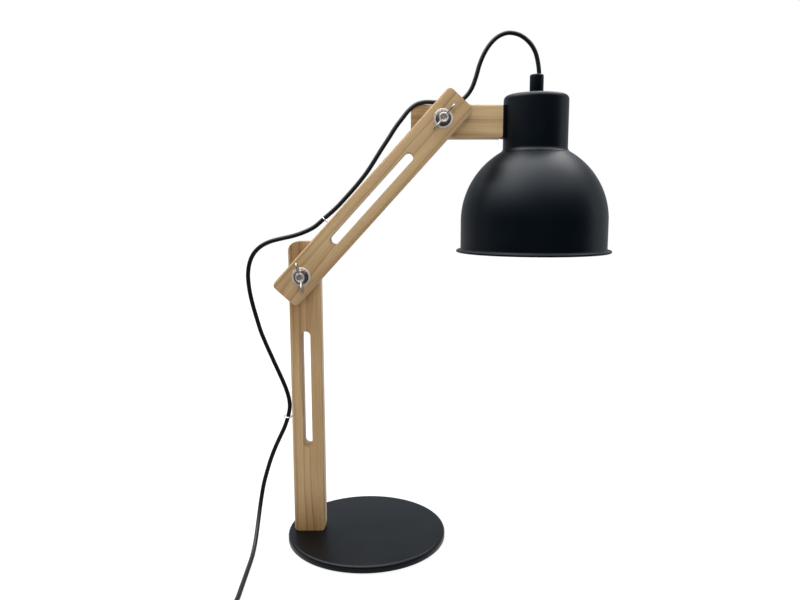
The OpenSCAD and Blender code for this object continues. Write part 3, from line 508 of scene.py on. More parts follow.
def tie_fabric():
    material, tree, shader = new_finish("tie_fabric", Roughness=0.9)
    weave = tree.nodes.new("ShaderNodeTexChecker")
    threads = {
        "Vector": object_coords(tree),
        "Scale": 1600.0,
        "Color1": (0.018, 0.018, 0.019, 1),
        "Color2": (0.010, 0.010, 0.011, 1),
    }
    feed(tree, weave.inputs, threads)
    woven, raised = weave.outputs["Color"], weave.outputs["Fac"]
    cover(tree, shader, woven, None, raised, 0.4, 0.2 * MM)
    return material


CORD_SHEATH, TIE_FABRIC = cord_sheath(), tie_fabric()
FINISH_OF_SLOT = {
    "black_paint": BLACK_PAINT, "foot_pad": FOOT_PAD, "friction_fibre": FRICTION_FIBRE,
    "steel": STEEL, "brass": BRASS, "bulb_metal": BULB_METAL,
    "black_plastic": BLACK_PLASTIC, "rocker_plastic": ROCKER_PLASTIC,
    "cord_rubber": CORD_SHEATH, "tie_fabric": TIE_FABRIC,
}
FINISH_OF_NODE = {}
for where in ("lower", "upper"):
    FINISH_OF_NODE[where + "_washer"] = WASHER_STEEL
    FINISH_OF_NODE[where + "_wing_nut"] = NUT_STEEL
    FINISH_OF_NODE[where + "_bolt"] = BOLT_STEEL


def finish_of(node):
    return FINISH_OF_NODE.get(node, FINISH_OF_SLOT[SLOT_OF[node]])


print("finishes for", len(FINISH_OF_SLOT), "slots and", len(FINISH_OF_NODE), "solids")

# %% [markdown]
# The cord is one length of cable: it leaves the grip, loops over the head arm, runs
# down behind the arm through two screw eyes, reaches the table, passes a switch and
# ends in a tied coil with its plug. Its route is the construction model's list of
# points. A straight line from point to point would show corners, so a Catmull-Rom
# curve passes through all of them and is sampled every few millimetres.

# %% Route of the cord
CORD_D = 4.2 * MM
LEAD_Z = CORD_D / MM / 2 + 0.1
COIL_Z = 1 * MM + CORD_D / 2
HEAD_ROUTE = [
    (167.6, 2, 474.5), (164.8, 2, 483.8), (159.2, 2, 492.2), (150.3, 2, 498.8),
    (139.5, 2, 501), (130.2, 2, 498), (122.7, 2, 491.5), (116.7, 2, 482.5), (112.2, 2, 472),
    (108.9, 2, 460.5), (104.6, 2, 449.5), (98, 2, 441.2), (88.5, 1.5, 437),
    (78, 0.5, 436.4), (68.5, -3, 436.6), (60, -7, 436.2), (52, -10.5, 433.8),
    (45, -13, 428.4), (38.5, -14.5, 420.5), (32, -15.5, 412), (25.5, -16.5, 402),
    (18.5, -17.5, 391.5), (11.5, -18, 380.5), (4, -18, 369.5), (-5, -18, 358.5),
    (-14.5, -18, 348), (-24.8, -18, 337.3),
]
ARM_ROUTE = [
    (-46.2, -17.3, 319.2), (-57, -15.5, 314), (-68, -13, 310.5), (-79.5, -9.8, 307.9),
    (-90.7, -6.5, 305), (-100.4, -3.8, 300.4), (-108.1, -1.8, 293.3), (-112.9, -0.5, 284),
    (-115.1, 0.5, 273), (-114.9, 1, 261.5), (-113.4, 1.5, 250), (-111, 2, 238.5),
    (-108, 2, 227), (-104.5, 2, 214.5), (-100, 2, 202.5), (-95.3, 2, 191), (-90.5, 2, 179.5),
    (-85.6, 2, 168), (-81.3, 2, 157), (-78.4, 2, 147), (-77.4, 2, 137),
]
LEAD_ROUTE = [
    (-83.3, 2, 115), (-88.5, 2, 104), (-93.8, 2, 92.5), (-98.5, 2, 80.5), (-102.5, 1.5, 68),
    (-105.8, 0.5, 56), (-108, -1.5, 44), (-109.3, -6, 32.5), (-109.8, -13.5, 22),
    (-109.7, -23.5, 13.2), (-109.3, -35, LEAD_Z + 4.6), (-108.8, -47.5, LEAD_Z + 1.2),
    (-108.3, -60, LEAD_Z + 0.1), (-107.8, -72.5, LEAD_Z), (-107.3, -85, LEAD_Z),
    (-106.8, -97.5, LEAD_Z), (-106.3, -110, LEAD_Z), (-105.8, -122, LEAD_Z + 0.1),
    (-105.3, -132.5, 4.2), (-105, -142, 6.8),
]
LINK_ROUTE = [
    (-105, -259, 7.3), (-103.5, -267, 6), (-98.5, -274, 4.7), (-90.5, -278.5, 3.8),
    (-80, -280, COIL_Z / MM + 0.1), (-68, -280, COIL_Z / MM),
]
PLANK_W, EYE_GAP, EYE_D = 31.4, 0.8, 9.4
EYE_OFF = (PLANK_W / 2 + EYE_GAP + EYE_D / 2) * MM
ARM_EYE = Vector((55 * MM, 0, EYE_OFF))
POST_EYE_Z = 126.3 * MM
CAP_Z, GRIP_LENGTH = 25.0, 19.5
GRIP_TOP = Vector((2, 0, CAP_Z + GRIP_LENGTH)) * MM
GRIP_HOLD = Vector((0, 0, 5 * MM))
SWITCH_IN = Vector((-105, -170, 8)) * MM
SWITCH_OUT = Vector((-105, -230, 8)) * MM
SLEEVE_L = 22
SLEEVE = Vector((0, SLEEVE_L, 0)) * MM

grip_inside = SHADE_FRAME @ (GRIP_TOP - GRIP_HOLD)
grip_outside = SHADE_FRAME @ (GRIP_TOP + Vector((0, 0, CORD_D / 2)))
arm_eye = ARM_FRAME @ ARM_EYE
post_eye = Vector((POST_AT.x - EYE_OFF, POST_AT.y, POST_EYE_Z))


def in_metres(points):
    return [Vector(p) * MM for p in points]


def smooth_line(points, step=2.5 * MM):
    """Points every step along a Catmull-Rom curve through the given ones."""
    line = []
    for i in range(len(points) - 1):
        a, b = points[max(i - 1, 0)], points[i]
        c, d = points[i + 1], points[min(i + 2, len(points) - 1)]
        count = max(2, round((c - b).length / step))
        for k in range(count):
            t = k / count
            twice = 2 * b + (c - a) * t + (2 * a - 5 * b + 4 * c - d) * t**2
            line.append(0.5 * (twice + (3 * b - a - 3 * c + d) * t**3))
    return line + [points[-1]]


whole_line = smooth_line([
    grip_inside, grip_outside, *in_metres(HEAD_ROUTE), arm_eye, *in_metres(ARM_ROUTE),
    post_eye, *in_metres(LEAD_ROUTE), SWITCH_IN + SLEEVE, SWITCH_IN,
])


def nearest(line, place):
    return min(range(len(line)), key=lambda i: (line[i] - place).length)


at_arm_eye = nearest(whole_line, arm_eye)
at_post_eye = nearest(whole_line, post_eye)
head_line = whole_line[: at_arm_eye + 1]
arm_line = whole_line[at_arm_eye : at_post_eye + 1]
lead_line = whole_line[at_post_eye:]


def line_length(line):
    return sum((b - a).length for a, b in zip(line, line[1:]))


print("lengths in mm", [round(line_length(p) / MM) for p in (head_line, arm_line, lead_line)])

# %% [markdown]
# The spare lead is put away as people do it: wound inwards on the table, up a layer
# at the middle and outwards again on top, so that both ends are outside.

# %% Stored coil
COIL_TURNS = 5
HALF_CLIMB = 0.25  # turns from the middle to either end of the climb
COIL_IN_R, COIL_PITCH, COIL_LAYER = 20.5 * MM, CORD_D + 1.4 * MM, CORD_D + 0.8 * MM
COIL_OUT_R = COIL_IN_R + COIL_PITCH * (COIL_TURNS / 2 - HALF_CLIMB)
LAID_Y = -280 * MM
COIL_AT = Vector((-45 * MM, LAID_Y + COIL_OUT_R, 0))
COIL_STEPS = 48
RUN_IN, RUN_OUT, DESCENT = 10 * MM, 12 * MM, 26 * MM
TAIL_MM = range(4, 62, 4)
PLUG_AXIS_Z = 6.8 * MM


def coil_point(u):
    radius = COIL_IN_R + COIL_PITCH * max(0, abs(u) - HALF_CLIMB)
    angle = math.radians(-90 + 360 * (u + COIL_TURNS / 2))
    climbed = min(max(u + HALF_CLIMB, 0), 2 * HALF_CLIMB)
    climb = (1 - math.cos(2 * math.pi * climbed)) / 2
    z = COIL_Z + COIL_LAYER * climb
    return COIL_AT + Vector((radius * math.cos(angle), radius * math.sin(angle), z))


def run_out(x):
    t = min(max((x - RUN_OUT) / DESCENT, 0), 1)
    top = COIL_Z + COIL_LAYER
    z = top + (PLUG_AXIS_Z - top) * (1 - math.cos(math.pi * t)) / 2
    return COIL_AT + Vector((x, -COIL_OUT_R, z))


coil_start = COIL_AT + Vector((-RUN_IN, -COIL_OUT_R, COIL_Z))
link_line = smooth_line([
    SWITCH_OUT, SWITCH_OUT - SLEEVE, *in_metres(LINK_ROUTE),
    coil_start, coil_start + Vector((CORD_D, 0, 0)),
])
turns_line = [
    coil_point(i / COIL_STEPS - COIL_TURNS / 2) for i in range(COIL_TURNS * COIL_STEPS + 1)
]
tail_line = [run_out(x * MM) for x in TAIL_MM]
coil_line = link_line + turns_line + tail_line
print("coil and link, mm:", round(line_length(coil_line) / MM))

# %% [markdown]
# A tube along a path is Geometry Nodes' home ground. The tree turns a line of edges
# into a curve, sweeps a circle along it and closes the ends. Before the sweep it
# stores the length along the line, and on the circle the share of a turn, which the
# sheath's material reads.


# %% Tube tree
def new_geometry_tree(name, inputs):
    """A tree that takes a mesh, these inputs and a finish."""
    tree = bpy.data.node_groups.new(name, "GeometryNodeTree")
    for label, kind in {"Geometry": "Geometry", **inputs, "Finish": "Material"}.items():
        tree.interface.new_socket(label, in_out="INPUT", socket_type="NodeSocket" + kind)
    tree.interface.new_socket("Geometry", in_out="OUTPUT", socket_type="NodeSocketGeometry")
    return tree, tree.nodes.new("NodeGroupInput").outputs


def closed_tree(tree, given, geometry):
    """Ends a tree: its copies become real, and the finish goes on."""
    real = add_node(tree, "GeometryNodeRealizeInstances", {"Geometry": geometry})
    sources = {"Geometry": real, "Material": given["Finish"]}
    painted = add_node(tree, "GeometryNodeSetMaterial", sources)
    feed(tree, tree.nodes.new("NodeGroupOutput").inputs, {"Geometry": painted})
    return tree


def circle(tree, sides, radius):
    sources = {"Resolution": sides, "Radius": radius}
    return add_node(tree, "GeometryNodeCurvePrimitiveCircle", sources, "Curve")


def swept(tree, curve, profile, caps):
    sources = {"Curve": curve, "Profile Curve": profile, "Fill Caps": caps}
    return add_node(tree, "GeometryNodeCurveToMesh", sources)


def stored(tree, curve, name, measure):
    """Keeps a measure along a curve as an attribute of its points."""
    value = add_node(tree, "GeometryNodeSplineParameter", None, measure)
    sources = {"Geometry": curve, "Name": name, "Value": value}
    return add_node(tree, "GeometryNodeStoreNamedAttribute", sources)


def build_tube_tree():
    tree, given = new_geometry_tree("tube_along_line", {"Radius": "Float", "Sides": "Int"})
    line = add_node(tree, "GeometryNodeMeshToCurve", {"Mesh": given["Geometry"]})
    profile = circle(tree, given["Sides"], given["Radius"])
    line = stored(tree, line, "along", "Length")
    profile = stored(tree, profile, "around", "Factor")
    return closed_tree(tree, given, swept(tree, line, profile, True))


TUBE_TREE = build_tube_tree()


def grown(piece, tree, **values):
    """Runs a Geometry Nodes tree on a piece and keeps the result as its plain mesh."""
    modifier = piece.modifiers.new(tree.name, "NODES")
    modifier.node_group = tree
    for item in tree.interface.items_tree:
        if item.in_out == "INPUT" and item.name in values:
            modifier[item.identifier] = values[item.name]
    return baked(piece)


def baked(piece):
    """Replaces a piece's mesh with what its modifiers make of it, and removes them."""
    graph = bpy.context.evaluated_depsgraph_get()
    graph.update()
    mesh = bpy.data.meshes.new_from_object(piece.evaluated_get(graph))
    piece.modifiers.clear()
    piece.data = mesh
    mesh.name = piece.name
    return piece


def softened(mesh, sharp_over):
    mesh.shade_smooth()
    mesh.set_sharp_from_angle(angle=math.radians(sharp_over))


def tube(name, line, radius, sides, finish):
    mesh = bpy.data.meshes.new(name)
    mesh.from_pydata(line, [(i, i + 1) for i in range(len(line) - 1)], [])
    piece = new_object(name, mesh)
    grown(piece, TUBE_TREE, Radius=radius, Sides=sides, Finish=finish)
    softened(piece.data, 60)
    return piece


CORD_SIDES, COIL_SIDES = 20, 14
head_cord = tube("cord_to_head", head_line, CORD_D / 2, CORD_SIDES, CORD_SHEATH)
arm_cord = tube("cord_along_arm", arm_line, CORD_D / 2, CORD_SIDES, CORD_SHEATH)
lead_cord = tube("cord_to_switch", lead_line, CORD_D / 2, CORD_SIDES, CORD_SHEATH)
coil_cord = tube("cord_coil_and_tail", coil_line, CORD_D / 2, COIL_SIDES, CORD_SHEATH)
for cord in (head_cord, arm_cord, lead_cord, coil_cord):
    print(cord.name, len(cord.data.polygons), "faces")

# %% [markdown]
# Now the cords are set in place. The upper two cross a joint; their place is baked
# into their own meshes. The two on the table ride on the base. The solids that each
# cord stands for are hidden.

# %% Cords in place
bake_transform(head_cord)
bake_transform(arm_cord)
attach(lead_cord, "base")
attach(coil_cord, "base")
for cord, nodes in (
    (head_cord, ["head_cord"]),
    (arm_cord, ["arm_cord"]),
    (lead_cord, ["lead_cord"]),
    (coil_cord, ["link_cord", "cord_coil"]),
):
    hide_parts(*nodes)

# %% [markdown]
# Turned pieces, such as the base, the shade and the bulb, are drawn as a half
# outline and spun about an axis. The Screw modifier could do it, but a short
# function gives full control: points on the axis become one shared vertex, so the
# poles are closed, and the faces are turned outwards at the end.


# %% Turned pieces
def arc(centre, radius, start, end, steps):
    x, y = centre
    angles = [math.radians(start + (end - start) * i / steps) for i in range(steps + 1)]
    return [(x + radius * math.cos(a), y + radius * math.sin(a)) for a in angles]


def turned(name, outline, steps, place=None, sharp_over=35):
    """Spins a closed outline of (radius, height) points in millimetres about Z."""
    work = bmesh.new()
    angles = [2 * math.pi * k / steps for k in range(steps)]

    def vertex(r, z, a):
        return work.verts.new((r * math.cos(a) * MM, r * math.sin(a) * MM, z * MM))

    rings = [[vertex(r, z, a) for a in (angles if r else [0])] for r, z in outline]
    for low, high in zip(rings, rings[1:] + rings[:1]):
        if len(low) == 1 and len(high) == 1:
            continue
        for k in range(steps):
            n = (k + 1) % steps
            corners = [low[k % len(low)], low[n % len(low)]]
            corners += [high[n % len(high)], high[k % len(high)]]
            work.faces.new(list(dict.fromkeys(corners)))
    bmesh.ops.recalc_face_normals(work, faces=work.faces)
    mesh = bpy.data.meshes.new(name)
    work.to_mesh(mesh)
    work.free()
    if place is not None:
        mesh.transform(place)
    softened(mesh, sharp_over)
    return new_object(name, mesh)


def dress(piece, finish, *nodes):
    """The piece takes a finish, rides on the body of these solids and stands for them."""
    piece.data.materials.clear()
    piece.data.materials.append(finish)
    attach(piece, BODY_OF[nodes[0]])
    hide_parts(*nodes)
    print(piece.name, "rides on", BODY_OF[nodes[0]], "-", len(piece.data.polygons), "faces")


# %% [markdown]
# The shade is the lamp's hardest form: one sheet of metal spun over a wooden chuck.
# A flat cap turns through a small radius into a straight neck, a tight hollow curve
# leads into the dome, and below a short skirt the edge is turned out and rolled
# into a bead. The outline is made of arcs that meet without a kink, first outside
# and then back inside, one sheet thickness away.


# %% Shade
def shade_outline():
    hole_r, neck_r, sheet = 5.05, 31.0, 0.8
    cap_r, fillet_r, dome_r, lip_r, bead_r = 4.5, 5.0, 76.5, 2.6, 1.3
    rim_z, skirt_h, skirt_r, rim_r = -125.0, 30.7, 71.0, 75.3
    dome = (skirt_r - dome_r, rim_z + skirt_h)
    fillet_x = neck_r + fillet_r
    fillet_z = dome[1] + math.sqrt((dome_r + fillet_r) ** 2 - (fillet_x - dome[0]) ** 2)
    join = math.degrees(math.atan2(fillet_z - dome[1], fillet_x - dome[0]))
    fillet = (fillet_x, fillet_z)
    cap = (neck_r - cap_r, CAP_Z - cap_r)
    bead = (rim_r - bead_r, rim_z + bead_r)
    lip = (skirt_r + lip_r, bead[1] + sheet / 2 + lip_r)
    open_a = math.degrees(math.asin(sheet / 2 / bead_r))

    def side(depth):
        """The sheet's face at this depth, from the hole to the rim."""
        return (
            [(hole_r, CAP_Z - depth)]
            + arc(cap, cap_r - depth, 90, 0, 10)
            + arc(fillet, fillet_r + depth, 180, 180 + join, 10)
            + arc(dome, dome_r - depth, join, 0, 40)
            + arc(lip, lip_r + depth, 180, 270, 8)
        )

    rolled = arc(bead, bead_r, 180 - open_a, open_a - 180, 16)
    return side(0) + rolled + side(sheet)[::-1]


shade = turned("spun_shade", shade_outline(), 160, SHADE_FRAME, 50)
dress(shade, BLACK_PAINT, "shade")

# %% [markdown]
# The base is a heavy steel disc, turned too, with a small bevel below. Its softly
# rounded upper edge catches the thin bright line that tells the eye how thick the
# plate is.

# %% Base plate
BASE_R, BASE_LOW, BASE_TOP = 80.5, 0.8, 7.8
BASE_EDGE, BASE_BEVEL = 2.5, 0.6
base_outline = (
    [(0, BASE_LOW), (BASE_R - BASE_BEVEL, BASE_LOW), (BASE_R, BASE_LOW + BASE_BEVEL)]
    + arc((BASE_R - BASE_EDGE, BASE_TOP - BASE_EDGE), BASE_EDGE, 0, 90, 12)
    + [(0, BASE_TOP)]
)
base = turned("base_disc", base_outline, 192, None, 50)
dress(base, BASE_PAINT_SHADED, "base_plate")

# %% [markdown]
# The bulb is blown glass on a metal cap. It hides in the shade in the picture, but
# shows from below.

# %% Bulb
HOLDER_END, BULB_LENGTH = -26.6, 74
BULB_NECK_R, BULB_NECK_END = 12.7, HOLDER_END - 4
GLOBE_R, GLOBE_FROM, GLASS_T = 29, 38, 1
GLOBE_STEPS = 28
globe = (0, HOLDER_END - BULB_LENGTH + GLOBE_R)
bulb_outline = (
    [(BULB_NECK_R, HOLDER_END), (BULB_NECK_R, BULB_NECK_END)]
    + arc(globe, GLOBE_R, GLOBE_FROM, -90, GLOBE_STEPS)
    + arc(globe, GLOBE_R - GLASS_T, -90, GLOBE_FROM, GLOBE_STEPS)
    + [(BULB_NECK_R - GLASS_T, BULB_NECK_END), (BULB_NECK_R - GLASS_T, HOLDER_END)]
)
bulb = turned("bulb_globe", bulb_outline, 64, SHADE_FRAME, 60)
dress(bulb, GLASS, "bulb_glass")

# %% [markdown]
# The planks and small parts already have the right shape as solids, but solids have
# hard edges, and real edges catch light. A copy of the solid is welded, its flat
# faces are merged, and a Bevel modifier rounds every edge sharper than a limit.

# %% Dressed copies of solids
WELD, FLAT = 2e-6, math.radians(0.5)
BEVEL_OVER, BEVEL_STEPS = math.radians(40), 3
PLANK_EASE = 0.7


def modify(piece, name, kind, **settings):
    modifier = piece.modifiers.new(name, kind)
    for key, value in settings.items():
        setattr(modifier, key, value)


def eased_copy(node, name, width):
    work = bmesh.new()
    work.from_mesh(frame["nodes"][node].data)
    bmesh.ops.remove_doubles(work, verts=work.verts, dist=WELD)
    bmesh.ops.dissolve_limit(work, angle_limit=FLAT, verts=work.verts, edges=work.edges)
    mesh = bpy.data.meshes.new(name)
    work.to_mesh(mesh)
    work.free()
    piece = new_object(name, mesh)
    if width:
        bevel = {"width": width * MM, "segments": BEVEL_STEPS, "limit_method": "ANGLE"}
        modify(piece, "eased_edges", "BEVEL", angle_limit=BEVEL_OVER, **bevel)
        baked(piece)
    softened(piece.data, 32)
    return piece


for node, name, finish in (
    ("post", "pine_post", PINE_POST),
    ("upper_arm", "pine_arm", PINE_ARM),
    ("head_arm", "pine_head_arm", PINE_HEAD),
):
    dress(eased_copy(node, name, PLANK_EASE), finish, node)

# %% [markdown]
# The rest of the hardware gets the same treatment in one loop, with a bevel that
# suits its size.

# %% Hardware and fittings
EASED = {
    "base_pad": 0.2, "base_screws": 0.2, "lower_bolt": 0.25, "upper_bolt": 0.25,
    "lower_friction_washer": 0.2, "upper_friction_washer": 0.2,
    "lower_washer": 0.3, "upper_washer": 0.3, "neck_saddle": 0.4, "head_screws": 0.2,
    "nipple": 0.2, "nipple_nut": 0.3, "cord_grip": 0.4, "grip_screw": 0.2,
    "holder_cap": 0.3, "holder_body": 0.3, "holder_shell": 0.1, "holder_contact": 0.1,
    "bulb_cap": 0.2, "switch_rocker": 0.4, "switch_screws": 0.15, "switch_sleeves": 0.3,
    "cord_tie": 0.2, "plug_pins": 0.2,
}
for node, width in EASED.items():
    dress(eased_copy(node, node + "_piece", width), finish_of(node), node)

# %% [markdown]
# The wing nuts are cast, and the switch and the plug are moulded. Such pieces have no
# sharp edge anywhere: the ears of a nut flow into its hub. A bevel stops at the first
# crowded corner, so these solids are melted instead. A voxel remesh turns the separate
# faces into one even skin, a Smooth modifier rounds it, and Decimate brings the count
# down again.


# %% Cast and moulded pieces
def melted(node, voxel, rounds, keep):
    """A rounded copy of a solid: voxel in mm, rounds of smoothing, share of faces to keep."""
    piece = eased_copy(node, node + "_piece", 0)
    modify(piece, "even_skin", "REMESH", mode="VOXEL", voxel_size=voxel * MM)
    modify(piece, "rounded", "SMOOTH", factor=0.5, iterations=rounds)
    modify(piece, "fewer_faces", "DECIMATE", ratio=keep)
    softened(baked(piece).data, 70)
    dress(piece, finish_of(node), node)


for node, voxel, rounds, keep in (
    ("lower_wing_nut", 0.2, 6, 0.3),
    ("upper_wing_nut", 0.2, 6, 0.3),
    ("plug_body", 0.35, 12, 0.2),
    ("switch_base", 0.3, 5, 0.2),
    ("switch_cover", 0.3, 5, 0.2),
):
    melted(node, voxel, rounds, keep)

# %% [markdown]
# On a cast nut the cone between crown and foot lies in shade, and the ears are a
# little dimmer than the crown; both are painted shade. A painted mask would need an
# unwrapped mesh. Here each vertex gets a number instead, worked out from its distance
# to the bolt's axis and to the plane of the ears, and the finish reads that attribute
# and darkens the steel there. The end of the bolt, sunk in the crown, gets a little
# painted shade too.

# %% Painted shade on the nuts
# The cone between crown and foot takes full painted shade, the ears part of it, the bolt's
# end a little.
CROWN_R, CONE_R = 4.1, 4.7
EAR_HALF_T, EAR_CLEAR = 0.9, 1.4
EAR_SHADE, BOLT_END_SHADE = 0.55, 0.15
BOLT_END_R = 3.2


def piece_of(node):
    return bpy.data.objects[node + "_piece"]


def fade(value, low, high):
    return min(max((value - low) / (high - low), 0), 1)


def nut_hollow_shade(out, ear_turn):
    from_ears = abs(out.x * math.sin(ear_turn) - out.z * math.cos(ear_turn))
    past_crown = fade(math.hypot(out.x, out.z), CROWN_R, CONE_R)
    return past_crown * max(fade(from_ears, EAR_HALF_T, EAR_CLEAR), EAR_SHADE)


def bolt_hollow_shade(out):
    in_crown = out.y < 0 and math.hypot(out.x, out.z) < BOLT_END_R
    return BOLT_END_SHADE if in_crown else 0


def mark_hollows(node, pivot, shade_rule, *values):
    """Gives each vertex its share of painted shade, from its place in mm around the pivot."""
    mesh = piece_of(node).data
    hollow = mesh.attributes.new("hollow", "FLOAT", "POINT")
    for vertex, item in zip(mesh.vertices, hollow.data):
        item.value = shade_rule((vertex.co - pivot) / MM, *values)


for where, pivot, ear_turn in (("lower", LOWER_PIVOT, 101.5), ("upper", UPPER_PIVOT, 49.5)):
    mark_hollows(where + "_wing_nut", pivot, nut_hollow_shade, math.radians(ear_turn))
    mark_hollows(where + "_bolt", pivot, bolt_hollow_shade)
print("hollows marked")

# %% [markdown]
# A screw eye is a wire bent into a ring that stops just short of its own neck. One
# line draws it, up the shank and once round, and the tube tree gives it thickness.

# %% Screw eyes
EYE_RING, EYE_WIRE, EYE_SHANK = 4.05, 1.3, 11.5
EYE_SIDES, EYE_STEP = 12, 0.4 * MM


def eye_line():
    foot = -EYE_RING
    shank = [(0, foot - EYE_SHANK), (0, foot - 5), (0, foot - 1.6), (0.5, foot - 0.4)]
    ring = arc((0, 0), EYE_RING, -68, 248, 30)
    return smooth_line([Vector((x, 0, z)) * MM for x, z in shank + ring], EYE_STEP)


EYE_TURN = Matrix.Rotation(QUARTER, 4, "Z")
for node, place in (
    ("arm_screw_eye", ARM_FRAME @ Matrix.Translation(ARM_EYE) @ EYE_TURN),
    ("post_screw_eye", placed(post_eye, -QUARTER) @ EYE_TURN),
):
    line = [place @ p for p in eye_line()]
    eye = tube(node + "_wire", line, EYE_WIRE / 2 * MM, EYE_SIDES, STEEL)
    dress(eye, STEEL, node)

# %% [markdown]
# The soft sleeves at the switch and the plug are ribbed, so that the cord bends in a
# curve there. The ribs are one ring set on a row of points: Geometry Nodes places a
# copy on each point and reads its size from the point's own attribute.


# %% Ribs on the sleeves
def build_rib_tree():
    tree, given = new_geometry_tree("rings_on_points", {"Thickness": "Float"})
    section = circle(tree, 10, given["Thickness"])
    ring = swept(tree, circle(tree, 32, 1.0), section, False)
    size = add_node(tree, "GeometryNodeInputNamedAttribute", {"Name": "size"}, "Attribute")
    sources = {"Points": given["Geometry"], "Instance": ring, "Scale": size}
    copies = add_node(tree, "GeometryNodeInstanceOnPoints", sources)
    return closed_tree(tree, given, copies)


RIB_TREE = build_rib_tree()
SLEEVE_R0, SLEEVE_R1 = 4.7, CORD_D / MM / 2 + 1
RIB_PLACES = [3 + 2.3 * i for i in range(8)]
RIB_THICKNESS = 0.13  # as a share of the rib's own radius
PLUG_AT = Vector((15 * MM, LAID_Y, PLUG_AXIS_Z))


def ribs(name, at, turn_axis, turn):
    mesh = bpy.data.meshes.new(name)
    mesh.from_pydata([(0, 0, z * MM) for z in RIB_PLACES], [], [])
    size = mesh.attributes.new("size", "FLOAT", "POINT")
    for item, z in zip(size.data, RIB_PLACES):
        item.value = (SLEEVE_R0 + (SLEEVE_R1 - SLEEVE_R0) * z / SLEEVE_L) * MM
    piece = new_object(name, mesh)
    grown(piece, RIB_TREE, Thickness=RIB_THICKNESS, Finish=BLACK_PLASTIC)
    piece.data.transform(Matrix.Translation(at) @ Matrix.Rotation(turn, 4, turn_axis))
    softened(piece.data, 60)
    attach(piece, "base")
    return piece


SWITCH_RIBS = [
    ribs("ribs_switch_in", SWITCH_IN, "X", -QUARTER),
    ribs("ribs_switch_out", SWITCH_OUT, "X", QUARTER),
]
PLUG_RIBS = [ribs("ribs_plug", PLUG_AT, "Y", -QUARTER)]
print("ribs", [len(p.data.polygons) for p in SWITCH_RIBS + PLUG_RIBS])

# %% [markdown]
# Of the four cords, the first two go from the lamp back into the lamp, the third
# ends in the switch and the fourth in the plug.


# %% [markdown]
# The lamp stands on a plain pale floor that fades into a white background. Black
# paint has almost no colour of its own, and its form shows in what it mirrors. So the
# surroundings are a studio for dark objects: a pale back wall, dimmer to the left and
# higher up, darkness behind the camera, and a bright ceiling that reaches lower at the
# sides. In mirrors the floor is dark too, except close to the base. The camera itself
# always sees white, and the floor is lit enough to keep a faint shadow.

# %% Floor and world
FLOOR_R, FLOOR_TOP, FLOOR_LOW = 4000, -0.2, -3
MIRRORED_FLOOR = (0.02, 0.03, 0.04, 1)
CEILING_LIGHT, AMBIENT_LIGHT = 4.0, 0.3


def background_rays(tree):
    """Masks of rays: straight to the camera or through glass, in a mirror, or either."""
    rays = tree.nodes.new("ShaderNodeLightPath").outputs
    direct = math_node(tree, "MAXIMUM", rays["Is Camera Ray"], rays["Is Transmission Ray"])
    in_mirror = rays["Is Glossy Ray"]
    return direct, in_mirror, math_node(tree, "MAXIMUM", direct, in_mirror)


def mixed(tree, factor, first, second):
    return add_node(tree, "ShaderNodeMixShader", {0: factor, 1: first, 2: second})


def put_out(tree, kind, surface):
    feed(tree, tree.nodes.new(kind).inputs, {"Surface": surface})


def floor_finish():
    material = bpy.data.materials.new("studio_floor")
    material.use_nodes = True
    tree = material.node_tree
    tree.nodes.clear()
    _, mirrored, seen = background_rays(tree)
    place = object_coords(tree)
    distance = vector_node(tree, "LENGTH", {0: place}, "Value")
    pale = add_node(tree, "ShaderNodeBsdfDiffuse", {"Color": rgba(0.6)})
    shaded = add_node(tree, "ShaderNodeBsdfDiffuse", {"Color": rgba(0.22)})
    fading = map_range(tree, distance, 0.35, 1.1, 0.84, 1.0)
    glow = add_node(tree, "ShaderNodeEmission", {"Strength": fading})
    lit = add_node(tree, "ShaderNodeAddShader", {0: shaded, 1: glow})
    surface = mixed(tree, seen, pale, lit)

    front = map_range(tree, axes(tree, place)[1], -0.3, 0.9, 0.98, 0.4)
    off_base = map_range(tree, distance, 0.12, 0.22, 0.35, 1.0)
    dimmed = times(tree, times(tree, front, mirrored), off_base)
    dim = add_node(tree, "ShaderNodeEmission", {"Color": MIRRORED_FLOOR})
    put_out(tree, "ShaderNodeOutputMaterial", mixed(tree, dimmed, surface, dim))
    return material


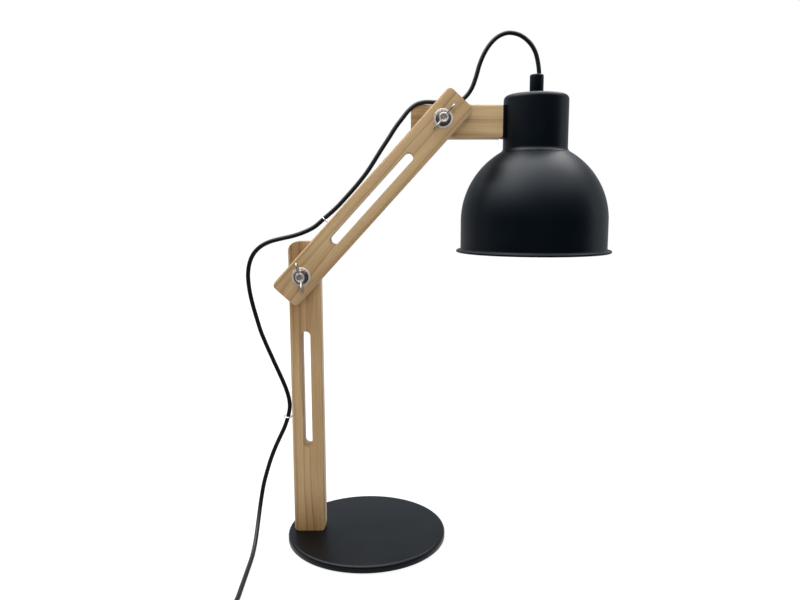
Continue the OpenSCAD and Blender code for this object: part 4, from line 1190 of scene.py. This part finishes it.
def light_world(world):
    world.use_nodes = True
    tree = world.node_tree
    tree.nodes.clear()
    direct, _, seen = background_rays(tree)
    place = add_node(tree, "ShaderNodeTexCoord", None, "Generated")
    sideways, back, height = axes(tree, place)
    studio = ramp(
        tree,
        times(tree, plus(tree, back, 1), 0.5),
        (0.1, (0.020, 0.028, 0.036)),
        (0.42, (0.050, 0.064, 0.080)),
        (0.6, (0.40, 0.47, 0.54)),
        (0.85, (0.43, 0.46, 0.50)),
    )
    dim_left = map_range(tree, sideways, -0.7, 0.15, 0.8, 1.0)
    dim_high = map_range(tree, height, 0.30, 0.46, 1.3, 0.66)
    dimming = times(tree, dim_left, dim_high)
    walls = vector_node(tree, "SCALE", {0: studio, "Scale": dimming})

    on_left, on_right = times(tree, sideways, -0.28), times(tree, sideways, 0.12)
    reach = plus(tree, math_node(tree, "MAXIMUM", on_left, on_right), height)
    ceiling = map_range(tree, reach, 0.57, 0.88, 0.0, CEILING_LIGHT)
    white = math_node(tree, "MAXIMUM", direct, ceiling)
    brightest = vector_node(tree, "MAXIMUM", {0: walls, 1: white})
    around = add_node(tree, "ShaderNodeBackground", {"Color": brightest})
    soft = {"Color": (0.92, 0.96, 1, 1), "Strength": AMBIENT_LIGHT}
    ambient = add_node(tree, "ShaderNodeBackground", soft)
    put_out(tree, "ShaderNodeOutputWorld", mixed(tree, seen, ambient, around))


floor_outline = [(0, FLOOR_TOP), (FLOOR_R, FLOOR_TOP), (FLOOR_R, FLOOR_LOW), (0, FLOOR_LOW)]
floor = turned("studio_floor", floor_outline, 96)
floor.data.materials.append(floor_finish())
bpy.context.scene.world = bpy.data.worlds.new("studio")
light_world(bpy.context.scene.world)
print("floor and world ready")

# %% [markdown]
# A softbox above lights the lamp and, with the ceiling, shows as the broad gleam on
# the dome. Two weak strips draw the sides of the shade. The fill from the camera's
# side lights the wood evenly, and is kept out of reflections.


# %% Lamps
def softbox(name, at, aim, size, power, in_mirrors=True):
    lamp = bpy.data.lights.new(name, "AREA")
    lamp.shape = "RECTANGLE"
    lamp.size, lamp.size_y = size
    lamp.energy = power
    piece = new_object(name, lamp)
    piece.location = at
    piece.rotation_mode = "QUATERNION"
    piece.rotation_quaternion = (Vector(aim) - Vector(at)).to_track_quat("-Z", "Y")
    piece.visible_glossy = in_mirrors


softbox("softbox_above", (0.0, 0.2, 1.7), (0.1, 0.0, 0.3), (2.8, 1.3), 50)
softbox("fill_front", (0.3, -2.2, 0.9), (0.05, 0, 0.25), (1.6, 1.2), 24, False)
softbox("strip_right", (1.5, 0.1, 0.6), (0.15, 0, 0.3), (0.3, 1.0), 1.2)
softbox("strip_left", (-1.5, -0.1, 0.6), (-0.05, 0, 0.3), (0.3, 1.0), 0.7)

bpy.context.scene.view_settings.view_transform = "Standard"
